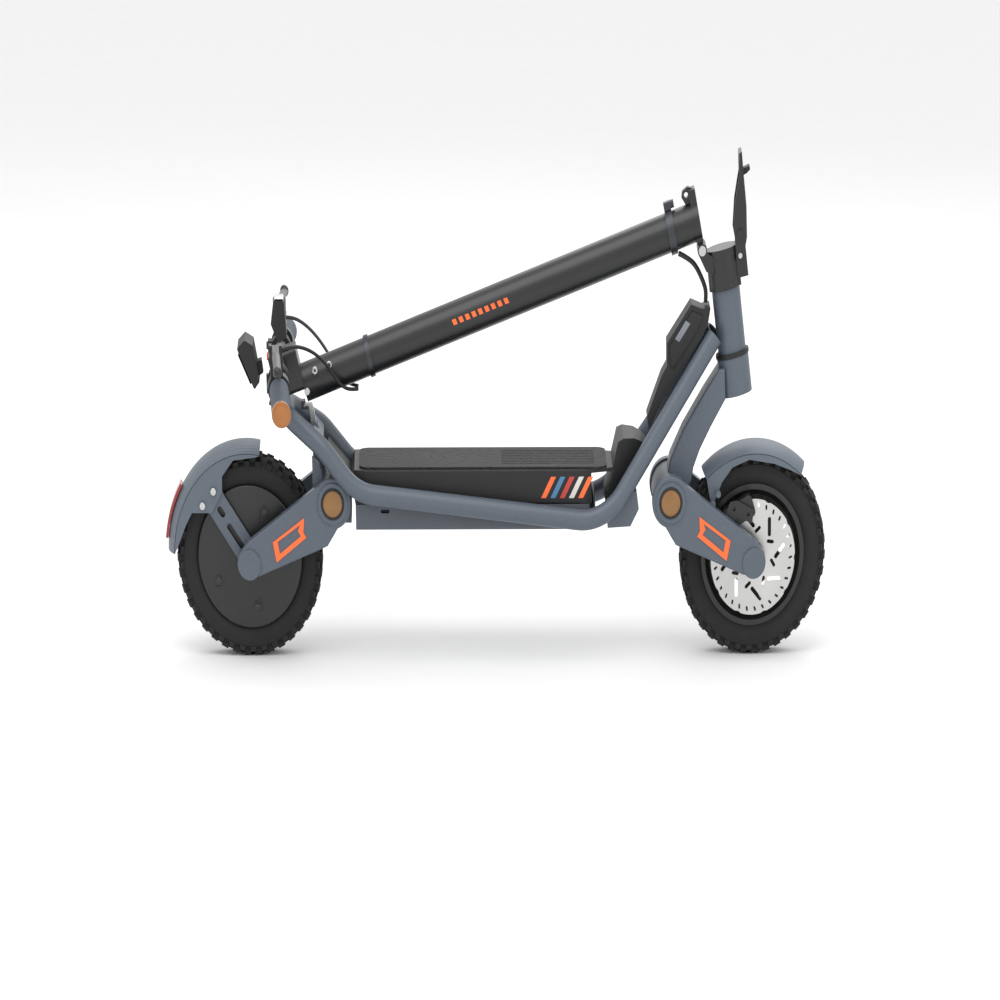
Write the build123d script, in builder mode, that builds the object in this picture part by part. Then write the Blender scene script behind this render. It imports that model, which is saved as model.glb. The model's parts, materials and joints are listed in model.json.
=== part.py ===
from build123d import *
from math import cos, pi, radians, sin, tan
import os

os.makedirs("parts", exist_ok=True)

# An electric kick scooter standing on its wheels with its stem folded back over the deck.
# Millimetres. +X is forward, +Y is the rider's left, +Z is up.
# The origin lies on the ground, at the middle of the whole folded scooter.

# ---------------------------------------------------------------- driving dimensions
wheelbase = 933.0
rear_axle_x = -456.5
front_axle_x = rear_axle_x + wheelbase
wheel_radius = 135.0
axle_z = wheel_radius
tyre_half_width = 31.0
rim_radius = 94.0
axle_radius = 6.0
run_gap = 0.05

pivot_z = 215.5
rear_pivot_x = -300.0
front_pivot_x = 320.0
pivot_shaft_radius = 8.0
pivot_barrel_radius = 31.0
barrel_half_length = 57.0
arm_inner_y = 60.0
arm_thickness = 22.0
arm_boss_radius = 22.0
arm_pivot_radius = 34.0

tube_radius = 14.0
tube_wall = 2.5
tube_y = 95.0
deck_half_width = 80.0
deck_top_z = 259.0
deck_floor_z = 180.0
deck_rear_x = -262.0
deck_front_x = 205.0

head_lean = 11.0
head_x = 419.5
head_z = 437.5
head_radius = 25.0
head_bottom_t = -42.0
head_top_t = 41.0
steerer_radius = 15.0
bearing_radius = 22.0

stem_slope = 15.9
stem_radius = 25.0
stem_wall = 2.5
fold_x = 367.0
fold_z = 527.0
fold_offset = 34.5
fold_gap = 0.3
knuckle_radius = 8.5
fold_pin_radius = 4.0
bar_reach = 772.0
bar_rise = 35.4
bar_radius = 12.5
bar_half_width = 327.5
grip_radius = 17.0
grip_inner_y = 196.0

fender_thickness = 3.0
rear_fender_radius = 155.0
front_fender_radius = 150.0
rotor_radius = 78.0
rotor_y = 40.0

# ---------------------------------------------------------------- frames of reference
lean = radians(head_lean)
head = Plane(
    origin=(head_x, 0, head_z),
    x_dir=(cos(lean), 0, sin(lean)),
    z_dir=(-sin(lean), 0, cos(lean)),
)
slope = radians(stem_slope)
stem_up = Vector(-sin(slope), 0, cos(slope))
stem_face = Vector(cos(slope), 0, sin(slope))
fold_axis_point = Vector(fold_x, 0, fold_z)
flange_offset = 4.7
stem_base = fold_axis_point + stem_up * fold_offset + stem_face * flange_offset
stem = Plane(origin=stem_base, x_dir=stem_up, z_dir=-stem_face)
fold_on_head = head.to_local_coords(fold_axis_point)
block_top_t = fold_on_head.Z - flange_offset - fold_gap
latch_pin_radius = 3.5
latch_pivot = head.from_local_coords((31, 0, block_top_t - 14))


def crosswise(y_left):
    """Plane across the scooter at y_left, whose extrusions run towards the right side."""
    return Plane.XZ.offset(-y_left)


def slab(side, inner_y, thickness):
    """Plane for a plate on one side (-1 right, +1 left) that is thickness deep from inner_y."""
    return Plane.XZ.offset(inner_y if side < 0 else -(inner_y + thickness))


def on_stem(along, up=0.0, y=0.0):
    """Point at a distance along the folded stem, above its axis and to the left."""
    return stem.from_local_coords((up, y, along))


def save(builder, label):
    """Label a finished piece and write its STEP file."""
    builder.part.label = label
    export_step(builder.part, f"parts/{label}.step")


def save_group(parts, label):
    """Write the solids of one rigid piece, made in several steps, as one STEP file."""
    with BuildPart() as group:
        for part in parts:
            add(part)
    save(group, label)


sides = ((-1, "right"), (1, "left"))

# ---------------------------------------------------------------- main frame
tube_rear_corner = (-255.7, 232.0)
tube_front_corner = (200.0, 191.6)
tube_head_end = (394.0, 420.0)
tube_head_y = 23.0
hoop_apex = (-381.0, 327.0)
hoop_side_y = 50.0
hoop_start = (-303.6, 277.3)
hoop_start_y = 88.1
hoop_bend = (-318.0, 291.0)
hoop_bend_y = 86.0
hook_pivot = (-331.0, 304.0)

with BuildPart() as side_tubes:
    for side, name in sides:
        with BuildLine() as route:
            FilletPolyline(
                (hoop_start[0], side * hoop_start_y, hoop_start[1]),
                (tube_rear_corner[0], side * tube_y, tube_rear_corner[1]),
                (tube_front_corner[0], side * tube_y, tube_front_corner[1]),
                (tube_head_end[0], side * tube_head_y, tube_head_end[1]),
                radius=(90.0, 95.0),
            )
        with BuildSketch(Plane(origin=route.line @ 0, z_dir=route.line % 0)):
            Circle(tube_radius)
            Circle(tube_radius - tube_wall, mode=Mode.SUBTRACT)
        sweep()
    with BuildSketch(head.offset(head_bottom_t - 20)):
        Circle(head_radius)
    extrude(amount=head_top_t - head_bottom_t + 40, mode=Mode.SUBTRACT)
save(side_tubes, "frame_side_tubes")

with BuildPart() as hoop:
    with BuildLine() as route:
        FilletPolyline(
            (hoop_start[0], -hoop_start_y, hoop_start[1]),
            (hoop_bend[0], -hoop_bend_y, hoop_bend[1]),
            (hoop_apex[0], -hoop_side_y, hoop_apex[1]),
            (hoop_apex[0], hoop_side_y, hoop_apex[1]),
            (hoop_bend[0], hoop_bend_y, hoop_bend[1]),
            (hoop_start[0], hoop_start_y, hoop_start[1]),
            radius=(60.0, 40.0, 40.0, 60.0),
        )
    with BuildSketch(Plane(origin=route.line @ 0, z_dir=route.line % 0)):
        Circle(tube_radius)
        Circle(tube_radius - tube_wall, mode=Mode.SUBTRACT)
    sweep()
    with BuildSketch(crosswise(68)):
        with Locations((-325, 297)):
            SlotOverall(26, 9, rotation=-43)
    extrude(amount=136)
    with BuildSketch(crosswise(12)):
        with Locations(hook_pivot):
            Circle(6.5)
    extrude(amount=24)
    with BuildSketch(crosswise(5.4)):
        with Locations(hook_pivot):
            Circle(9)
    extrude(amount=10.8, mode=Mode.SUBTRACT)
    with BuildSketch(crosswise(8)):
        with Locations(hook_pivot):
            Circle(2.5)
    extrude(amount=16)
save(hoop, "rear_hoop")

with BuildPart() as head_tube:
    with BuildSketch(head.offset(head_bottom_t)):
        Circle(head_radius)
        Circle(bearing_radius, mode=Mode.SUBTRACT)
    extrude(amount=head_top_t - head_bottom_t)
save(head_tube, "head_tube")

with BuildPart() as kick_plate:
    with BuildSketch(crosswise(72)):
        with BuildLine():
            Polyline((-307, 279), (-266, 243), (-268.6, 240), (-309.6, 276), close=True)
        make_face()
    extrude(amount=144)
save(kick_plate, "rear_kick_plate")

with BuildPart() as rear_housing:
    with BuildSketch(crosswise(barrel_half_length)):
        with Locations((rear_pivot_x, pivot_z)):
            Circle(pivot_barrel_radius)
        with BuildLine():
            Polyline((-336, 214), (-336, 272), (-322, 262), (-316, 240), (-286, 238),
                     (-266, 222), (-266, 186), (-290, 186), close=True)
        make_face()
        with Locations((rear_pivot_x, pivot_z)):
            Circle(pivot_shaft_radius + 6, mode=Mode.SUBTRACT)
    extrude(amount=2 * barrel_half_length)
    with BuildSketch(crosswise(40)):
        with BuildLine():
            Polyline((-340, 204), (-340, 290), (-318, 290), (-318, 240), (-334, 214), close=True)
        make_face()
    extrude(amount=80, mode=Mode.SUBTRACT)

# ---------------------------------------------------------------- deck
nose_taper = ((150, 90), (150, 80.2), (166, 79), (192, 69), (288, 34), (288, 90))
tail_taper = ((-236, 90), (-236, 80.2), (-270, 76.5), (-270, 90))

with BuildPart() as tray:
    with BuildSketch(crosswise(deck_half_width)):
        with BuildLine():
            Polyline((-258, deck_floor_z), (150, deck_floor_z), (182, 196), (182, 214),
                     (-258, 214), close=True)
        make_face()
    extrude(amount=2 * deck_half_width)
    fillet(tray.edges().filter_by(Axis.X).group_by(Axis.Z)[0], 5)
    offset(amount=-3, openings=tray.faces().sort_by(Axis.Z)[-1])
    with BuildSketch(crosswise(deck_half_width + 5)):
        with Locations((-204, 205)):
            SlotOverall(16, 5)
    extrude(amount=2 * deck_half_width + 10, mode=Mode.SUBTRACT)
    with BuildSketch(Plane.XY.offset(deck_floor_z - 1)):
        for side, name in sides:
            with BuildLine():
                Polyline([(x, side * y) for x, y in nose_taper], close=True)
            make_face()
    extrude(amount=40, mode=Mode.SUBTRACT)
save(tray, "deck_tray")

with BuildPart() as deck_body:
    with BuildSketch(crosswise(deck_half_width)):
        with BuildLine():
            Polyline((-266, 247), (-259, 259), (213, 259), (222, 291), (232, 295), (252, 294),
                     (274, 286), (262, 240), (250, 220), (215, 216), (204, 214.3),
                     (-258, 214.3), close=True)
        make_face()
    extrude(amount=2 * deck_half_width)
    fillet(deck_body.edges().filter_by(Axis.X).group_by(Axis.Z)[-2:], 2)
    with BuildSketch(crosswise(deck_half_width - 4)):
        with BuildLine():
            Polyline((-262, 240), (-255, 254), (214, 254), (200, 214), (-254, 214), close=True)
        make_face()
    extrude(amount=2 * deck_half_width - 8, mode=Mode.SUBTRACT)
    with BuildSketch(Plane.XY.offset(210)):
        for side, name in sides:
            with BuildLine():
                Polyline([(x, side * y) for x, y in nose_taper], close=True)
            make_face()
            with BuildLine():
                Polyline([(x, side * y) for x, y in tail_taper], close=True)
            make_face()
    extrude(amount=100, mode=Mode.SUBTRACT)
save(deck_body, "deck_body")

with BuildPart() as mat:
    with BuildSketch(Plane.XY.offset(deck_top_z)):
        with Locations((-24, 0)):
            RectangleRounded(452, 148, 18)
    extrude(amount=3)
    with BuildSketch(Plane.XY.offset(deck_top_z + 3)):
        with GridLocations(0, 12, 1, 9):
            with Locations((95, 0)):
                SlotOverall(170, 3)
    extrude(amount=-1.2, mode=Mode.SUBTRACT)
save(mat, "deck_mat")

with BuildPart() as battery:
    with BuildSketch(Plane.XY.offset(deck_floor_z + 3)):
        with Locations((-92, 0)):
            RectangleRounded(300, 136, 8)
    extrude(amount=60)
save(battery, "battery_pack")

with BuildPart() as controller:
    with BuildSketch(Plane.XY.offset(deck_floor_z + 3)):
        with Locations((112, 0)):
            Rectangle(74, 96)
    extrude(amount=24)
    with BuildSketch(Plane.XY.offset(deck_floor_z + 27)):
        with Locations((112, 0)):
            with GridLocations(9, 0, 7, 1):
                Rectangle(3, 90)
    extrude(amount=8)
save(controller, "motor_controller")

with BuildPart() as lugs:
    for side, name in sides:
        with BuildSketch(slab(side, 62, 12)):
            with BuildLine():
                Polyline((205, 181), (247, 183), (262, 206), (257, 231), (246, 226), (226, 205.6),
                         (205, 205.6), close=True)
            make_face()
        extrude(amount=12)
    with BuildSketch(crosswise(62)):
        with BuildLine():
            Polyline((205, 181), (247, 183), (252, 196), (244, 205.6), (205, 205.6), close=True)
        make_face()
    extrude(amount=124)

with BuildPart() as cover:
    with BuildSketch(crosswise(26)):
        with BuildLine():
            Polyline((385, 458), (370, 455), (350, 461), (308, 412), (309, 383), (300, 371),
                     (275, 318), (279, 300), (300, 335.5), (371, 419), (381, 436), close=True)
        make_face()
    extrude(amount=52)
    fillet(cover.edges().filter_by(Axis.Y).group_by(Axis.X)[-1], 2)
save(cover, "neck_cover")

# ---------------------------------------------------------------- steering head and fork
with BuildPart() as bearings:
    for low in (head_bottom_t - 4, head_top_t - 8):
        with BuildSketch(head.offset(low)):
            Circle(bearing_radius - 0.3)
            Circle(steerer_radius + run_gap, mode=Mode.SUBTRACT)
        extrude(amount=12 if low < 0 else 8)
save(bearings, "head_bearings")

with BuildPart() as steerer:
    with BuildSketch(head.offset(-95)):
        Circle(steerer_radius)
        Circle(steerer_radius - 2.5, mode=Mode.SUBTRACT)
    extrude(amount=95 + block_top_t - 8)
save(steerer, "steerer_tube")

with BuildPart() as neck:
    with BuildSketch(crosswise(30)):
        with BuildLine():
            Polyline((414, 380), (403, 379), (378, 350), (341, 302), (319, 264), (312, 232),
                     (330, 220), (350, 222), (359, 234), (362, 252), (373, 276), (392, 306),
                     (417, 341), close=True)
        make_face()
    extrude(amount=60)
    fillet(neck.edges().filter_by(lambda e: abs(e.center().Y) > 29), 4)
    with BuildSketch(crosswise(barrel_half_length)):
        with Locations((front_pivot_x, pivot_z)):
            Circle(pivot_barrel_radius)
    extrude(amount=2 * barrel_half_length)
    with BuildSketch(crosswise(barrel_half_length)):
        with Locations((front_pivot_x, pivot_z)):
            Circle(pivot_shaft_radius + 6)
    extrude(amount=2 * barrel_half_length, mode=Mode.SUBTRACT)
    with BuildSketch(head.offset(-95)):
        Circle(head_radius + 3.5)
    extrude(amount=51.5)
    with BuildSketch(head.offset(-95)):
        Circle(steerer_radius + run_gap)
    extrude(amount=60, mode=Mode.SUBTRACT)
    with BuildSketch(head.offset(-47)):
        Circle(bearing_radius + 0.6)
    extrude(amount=10, mode=Mode.SUBTRACT)
save(neck, "fork_neck")

# ---------------------------------------------------------------- suspension, both ends
mid_x = rear_axle_x + wheelbase / 2
arm_outline = ((343, 240), (477, 165), (496, 147), (492, 122), (459, 118.5), (331, 159), (306, 189))
badge_outline = ((373, 197), (432, 165), (426, 138), (370, 171), (375, 178))
badge_window = ((381, 188), (423, 165.5), (419.5, 149.5), (380, 173), (385, 180))


def facing(points, front):
    """The same outline at the front end, or mirrored for the rear end of the scooter."""
    return [(x, z) if front else (2 * mid_x - x, z) for x, z in points]


bearing_sets = {}
ends = (
    (True, "front", front_axle_x, front_pivot_x),
    (False, "rear", rear_axle_x, rear_pivot_x),
)
for front, end, axle_x, pivot_x in ends:
    arms = []
    for side, name in sides:
        with BuildPart() as arm:
            with BuildSketch(slab(side, arm_inner_y, arm_thickness)):
                with Locations((axle_x, axle_z)):
                    Circle(arm_boss_radius)
                with Locations((pivot_x, pivot_z)):
                    Circle(arm_pivot_radius)
                with BuildLine():
                    Polyline(facing(arm_outline, front), close=True)
                make_face()
            extrude(amount=arm_thickness)
            outer = arm.faces().filter_by(Axis.Y).sort_by(Axis.Y)[0 if side < 0 else -1]
            fillet(outer.edges(), 3)
            with BuildSketch(slab(side, arm_inner_y, arm_thickness)):
                with Locations((axle_x, axle_z)):
                    Circle(arm_boss_radius - 1.5)
                with Locations((pivot_x, pivot_z)):
                    Circle(arm_pivot_radius - 7)
            extrude(amount=arm_thickness + 3 if side < 0 else arm_thickness)
            if side > 0:
                with BuildSketch(slab(side, arm_inner_y + arm_thickness, 3)):
                    with Locations((axle_x, axle_z)):
                        Circle(arm_boss_radius - 1.5)
                    with Locations((pivot_x, pivot_z)):
                        Circle(arm_pivot_radius - 7)
                extrude(amount=3)
            with BuildSketch(slab(side, arm_inner_y, 16)):
                with Locations((axle_x, axle_z)):
                    Circle(axle_radius + run_gap)
                with Locations((pivot_x, pivot_z)):
                    Circle(pivot_shaft_radius + run_gap)
            extrude(amount=16, mode=Mode.SUBTRACT)
            with BuildSketch(slab(side, arm_inner_y + arm_thickness + 1, 3)):
                with Locations((pivot_x, pivot_z)):
                    Circle(21.2)
            extrude(amount=3, mode=Mode.SUBTRACT)
        arms.append(arm.part)
    save_group(arms, f"{end}_swing_arms")

    with BuildPart() as reflectors:
        for side, name in sides:
            with BuildSketch(slab(side, arm_inner_y + arm_thickness + 1, 2.6)):
                with Locations((pivot_x, pivot_z)):
                    Circle(21)
            extrude(amount=2.6)

    with BuildPart() as badges:
        for side, name in sides:
            with BuildSketch(slab(side, arm_inner_y + arm_thickness, 1.5)):
                with BuildLine():
                    Polyline(facing(badge_outline, front), close=True)
                make_face()
                with BuildLine():
                    Polyline(facing(badge_window, front), close=True)
                make_face(mode=Mode.SUBTRACT)
            extrude(amount=1.5)
    save_group((reflectors.part, badges.part), f"{end}_arm_trim")

    with BuildPart() as shaft:
        with BuildSketch(crosswise(arm_inner_y + 15)):
            with Locations((pivot_x, pivot_z)):
                Circle(pivot_shaft_radius)
        extrude(amount=2 * arm_inner_y + 30)
        with BuildSketch(crosswise(arm_inner_y)):
            with Locations((pivot_x, pivot_z)):
                Circle(pivot_shaft_radius + 5)
        extrude(amount=arm_inner_y - barrel_half_length - 0.5)
        with BuildSketch(crosswise(-barrel_half_length - 0.5)):
            with Locations((pivot_x, pivot_z)):
                Circle(pivot_shaft_radius + 5)
        extrude(amount=arm_inner_y - barrel_half_length - 0.5)

    with BuildPart() as cartridge:
        with BuildSketch(crosswise(50)):
            with Locations((pivot_x, pivot_z)):
                Circle(pivot_shaft_radius + 5.95)
                Circle(pivot_shaft_radius + run_gap, mode=Mode.SUBTRACT)
        extrude(amount=100)
    save(cartridge, f"{end}_rubber_spring")

    with BuildPart() as axle:
        with BuildSketch(crosswise(arm_inner_y + 15)):
            with Locations((axle_x, axle_z)):
                Circle(axle_radius)
        extrude(amount=2 * arm_inner_y + 30)
        for y_left, length in ((arm_inner_y, 16.0), (-44.3, arm_inner_y - 44.3)):
            with BuildSketch(crosswise(y_left)):
                with Locations((axle_x, axle_z)):
                    Circle(axle_radius + 4)
            extrude(amount=length)
    save_group((shaft.part, axle.part), f"{end}_shafts")

    # the wheel turns on the axle: tyre, rim and two ball bearings
    turning = Axis((axle_x, 0, axle_z), (0, 1, 0))
    across = Plane(origin=(axle_x, 0, axle_z), x_dir=(0, 1, 0), z_dir=(1, 0, 0))
    with BuildPart() as tyre:
        with BuildSketch(across):
            with BuildLine():
                Polyline((-22, 93), (-23, 97), (-27, 99), (-tyre_half_width, 112), (-30, 127),
                         (-25, 133.5), (-22, wheel_radius), (22, wheel_radius), (25, 133.5),
                         (30, 127), (tyre_half_width, 112), (27, 99), (23, 97), (22, 93), (14, 93),
                         (22, 102), (24, 112), (22, 122), (16, 127), (-16, 127), (-22, 122),
                         (-24, 112), (-22, 102), (-14, 93), close=True)
            make_face()
        revolve(axis=turning)
    save(tyre, f"{end}_tyre")

    with BuildPart() as wheel_bearings:
        for y_left in (38.0, -26.0) if front else (30.0, -18.0):
            with BuildSketch(crosswise(y_left)):
                with Locations((axle_x, axle_z)):
                    Circle(13)
                    Circle(axle_radius + run_gap, mode=Mode.SUBTRACT)
            extrude(amount=12)
    bearing_sets[end] = wheel_bearings.part

front_turning = Axis((front_axle_x, 0, axle_z), (0, 1, 0))
front_across = Plane(origin=(front_axle_x, 0, axle_z), x_dir=(0, 1, 0), z_dir=(1, 0, 0))
rear_turning = Axis((rear_axle_x, 0, axle_z), (0, 1, 0))
rear_across = Plane(origin=(rear_axle_x, 0, axle_z), x_dir=(0, 1, 0), z_dir=(1, 0, 0))

with BuildPart() as front_rim:
    with BuildSketch(front_across):
        with BuildLine():
            Polyline((-26, 95.5), (-26, 88), (-20, 81), (20, 81), (26, 88), (26, 95.5), (23.4, 95.5),
                     (23.4, 92.9), (14, 92.9), (10, 86), (-10, 86), (-14, 92.9), (-23.4, 92.9),
                     (-23.4, 95.5), close=True)
        make_face()
        with BuildLine():
            Polyline((-39, 13.1), (-39, 28), (-26, 30), (-6, 34), (-6, 81.5), (6, 81.5), (6, 34),
                     (26, 24), (38, 22), (38, 13.1), close=True)
        make_face()
    revolve(axis=front_turning)
    with BuildSketch(crosswise(10)):
        with Locations((front_axle_x, axle_z)):
            with PolarLocations(58, 5, start_angle=20):
                SlotCenterToCenter(20, 26, rotation=90)
    extrude(amount=20, mode=Mode.SUBTRACT)
save_group((front_rim.part, bearing_sets["front"]), "front_rim")

with BuildPart() as rotor:
    with BuildSketch(crosswise(-39)):
        with Locations((front_axle_x, axle_z)):
            Circle(rotor_radius)
            Circle(13.5, mode=Mode.SUBTRACT)
            with PolarLocations(rotor_radius + 9, 10):
                Circle(10.5, mode=Mode.SUBTRACT)
            with PolarLocations(50, 8, start_angle=10):
                SlotOverall(26, 6, rotation=38, mode=Mode.SUBTRACT)
            with PolarLocations(38, 8, start_angle=34):
                SlotOverall(13, 5, rotation=-40, mode=Mode.SUBTRACT)
            with PolarLocations(70, 30):
                SlotOverall(7, 3.4, rotation=20, mode=Mode.SUBTRACT)
    extrude(amount=2)

with BuildPart() as rotor_bolts:
    for hole in PolarLocations(21, 6):
        spot = hole.position
        with BuildSketch(crosswise(-41)):
            with Locations((front_axle_x + spot.X, axle_z + spot.Y)):
                Circle(4)
                RegularPolygon(2.2, 6, mode=Mode.SUBTRACT)
        extrude(amount=2.8)
save_group((rotor.part, rotor_bolts.part), "front_brake_rotor")

caliper_turn = 115.0
caliper_x = front_axle_x + 68 * cos(radians(caliper_turn))
caliper_z = axle_z + 68 * sin(radians(caliper_turn))
with BuildPart() as caliper:
    with BuildSketch(crosswise(-29)):
        with Locations((caliper_x, caliper_z)):
            Rectangle(56, 30, rotation=caliper_turn - 90)
    extrude(amount=25)
    fillet(caliper.edges().filter_by(Axis.Y), 6)
    with BuildSketch(crosswise(-37.5)):
        with Locations((front_axle_x, axle_z)):
            Circle(rotor_radius + 1.5)
    extrude(amount=5, mode=Mode.SUBTRACT)

with BuildPart() as adapter:
    with BuildSketch(crosswise(-54)):
        with BuildLine():
            Polyline((416, 184), (430, 212), (444, 214), (474, 202), (472, 184), (444, 192),
                     (428, 172), close=True)
        make_face()
        with Locations((438, 203), (464, 196)):
            Circle(3, mode=Mode.SUBTRACT)
    extrude(amount=5.9)
save_group((caliper.part, adapter.part), "brake_caliper")

with BuildPart() as motor:
    with BuildSketch(rear_across):
        with BuildLine():
            Polyline((-26, 96.5), (-26, 84), (26, 84), (26, 96.5), (23.4, 96.5), (23.4, 92.9),
                     (-23.4, 92.9), (-23.4, 96.5), close=True)
        make_face()
    revolve(axis=rear_turning)

motor_covers = []
for side, name in sides:
    with BuildPart() as motor_cover:
        with BuildSketch(slab(side, 26, 5)):
            with Locations((rear_axle_x, axle_z)):
                Circle(96.5)
                Circle(13.1, mode=Mode.SUBTRACT)
        extrude(amount=5)
        rim_edge = motor_cover.edges().filter_by(GeomType.CIRCLE).group_by(SortBy.RADIUS)[-1]
        fillet(rim_edge.sort_by(Axis.Y)[0 if side < 0 else -1], 3)
        with BuildSketch(slab(side, 31, 2)):
            with Locations((rear_axle_x, axle_z)):
                with PolarLocations(67, 5, start_angle=63):
                    Circle(7)
                    Circle(2.6, mode=Mode.SUBTRACT)
        extrude(amount=2)
    motor_covers.append(motor_cover.part)
save_group(motor_covers, "motor_covers")

with BuildPart() as stator:
    with BuildSketch(crosswise(14)):
        with Locations((rear_axle_x, axle_z)):
            Circle(76)
            with PolarLocations(68, 27):
                SlotOverall(12, 5, mode=Mode.SUBTRACT)
            Circle(10.05, mode=Mode.SUBTRACT)
    extrude(amount=28)
save(stator, "motor_stator")

with BuildPart() as magnets:
    with BuildSketch(crosswise(14)):
        with Locations((rear_axle_x, axle_z)):
            with PolarLocations(80.3, 30):
                Rectangle(3.2, 13)
    extrude(amount=28)
save_group((motor.part, magnets.part, bearing_sets["rear"]), "motor_shell")

# ---------------------------------------------------------------- fenders and lights


def rim_point(centre_x, radius, angle):
    """Point in the side view on a circle about an axle, angle in degrees from +X."""
    return (centre_x + radius * cos(radians(angle)), axle_z + radius * sin(radians(angle)))


fender_bolt_spots = ((-519, 226), (-540, 207))
with BuildPart() as fender_mounts:
    for side, name in sides:
        for x, z in ((399, 209), (408, 222)):
            with BuildSketch(slab(side, 44, 15.9)):
                with Locations((x, z)):
                    Circle(4.5)
            extrude(amount=15.9)
fender_sets = (
    ("front", front_axle_x, front_fender_radius, 53.0, 131.0,
     ((397, 201), (415, 235.6), (433, 255), (463.6, 265), (510, 259.5), (537, 252))),
    ("rear", rear_axle_x, 152.0, 80.0, 177.0,
     ((-590, 150), (-572, 181), (-560, 197), (-524, 197), (-503, 224), (-502, 245), (-481, 266),
      (-440, 270))),
)
for end, axle_x, crown, start, finish, skirt in fender_sets:
    with BuildPart() as fender:
        with BuildSketch(Plane(origin=(axle_x, 0, axle_z), x_dir=(0, 1, 0), z_dir=(1, 0, 0))):
            with BuildLine():
                ThreePointArc((-44, crown - 12), (0, crown), (44, crown - 12))
                Line((44, crown - 12), (41, crown - 14))
                ThreePointArc((41, crown - 14), (0, crown - 3), (-41, crown - 14))
                Line((-41, crown - 14), (-44, crown - 12))
            make_face()
        revolve(axis=Axis((axle_x, 0, axle_z), (0, -1, 0)), revolution_arc=finish - start)
    upright = start - 90
    swung = fender.part.rotate(Axis((axle_x, 0, axle_z), (0, -1, 0)), upright)
    with BuildPart() as fender_shell:
        add(swung)
        for side, name in sides:
            with BuildSketch(slab(side, 41, 3)):
                with BuildLine():
                    ThreePointArc(
                        rim_point(axle_x, crown - 13, start),
                        rim_point(axle_x, crown - 13, (start + finish) / 2),
                        rim_point(axle_x, crown - 13, finish),
                    )
                    Polyline(
                        rim_point(axle_x, crown - 13, finish),
                        *skirt,
                        rim_point(axle_x, crown - 13, start),
                    )
                make_face()
            extrude(amount=3)
            with BuildSketch(slab(side, 40, 5)):
                with Locations(*fender_bolt_spots):
                    Circle(2.6)
            extrude(amount=5, mode=Mode.SUBTRACT)
    if end == "front":
        save_group((fender_shell.part, fender_mounts.part), "front_fender")
    else:
        save(fender_shell, "rear_fender")

with BuildPart() as tail_light:
    with BuildSketch(Plane(origin=(rear_axle_x, 0, axle_z), x_dir=(0, 1, 0), z_dir=(1, 0, 0))):
        with Locations((0, 154.55)):
            Rectangle(34, 4.8)
    revolve(axis=Axis((rear_axle_x, 0, axle_z), (0, -1, 0)), revolution_arc=29)
tail_lens = tail_light.part.rotate(Axis((rear_axle_x, 0, axle_z), (0, -1, 0)), 52)
with BuildPart() as tail_light_turned:
    add(tail_lens)
save(tail_light_turned, "tail_light")

with BuildPart() as stay:
    for side, name in sides:
        with BuildSketch(slab(side, 37, 3.8)):
            with Locations((rear_axle_x, axle_z)):
                Circle(20)
            with BuildLine():
                Polyline((-548, 214), (-526, 194), (-472, 127), (-440, 147), (-499, 219),
                         (-512, 240), close=True)
            make_face()
            with Locations((-506, 198)):
                SlotOverall(17, 9, rotation=-50, mode=Mode.SUBTRACT)
            with Locations((-480, 164)):
                SlotOverall(46, 9, rotation=-50, mode=Mode.SUBTRACT)
            with Locations((rear_axle_x, axle_z)):
                Circle(10.1, mode=Mode.SUBTRACT)
            with Locations(*fender_bolt_spots):
                Circle(2.6, mode=Mode.SUBTRACT)
        extrude(amount=3.8)
        with BuildSketch(slab(side, 40.8, arm_inner_y - 40.8)):
            with Locations((rear_axle_x, axle_z)):
                Circle(17)
                Circle(10.1, mode=Mode.SUBTRACT)
        extrude(amount=arm_inner_y - 40.8)

with BuildPart() as fender_bolts:
    for side, name in sides:
        for x, z in fender_bolt_spots:
            with BuildSketch(slab(side, 34.6, 12.4)):
                with Locations((x, z)):
                    Circle(2.5)
            extrude(amount=12.4)
            with BuildSketch(slab(side, 44, 3.4)):
                with Locations((x, z)):
                    Circle(4.6)
                    RegularPolygon(2.4, 6, mode=Mode.SUBTRACT)
            extrude(amount=3.4)
save_group((stay.part, fender_bolts.part), "rear_fender_stays")

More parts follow.
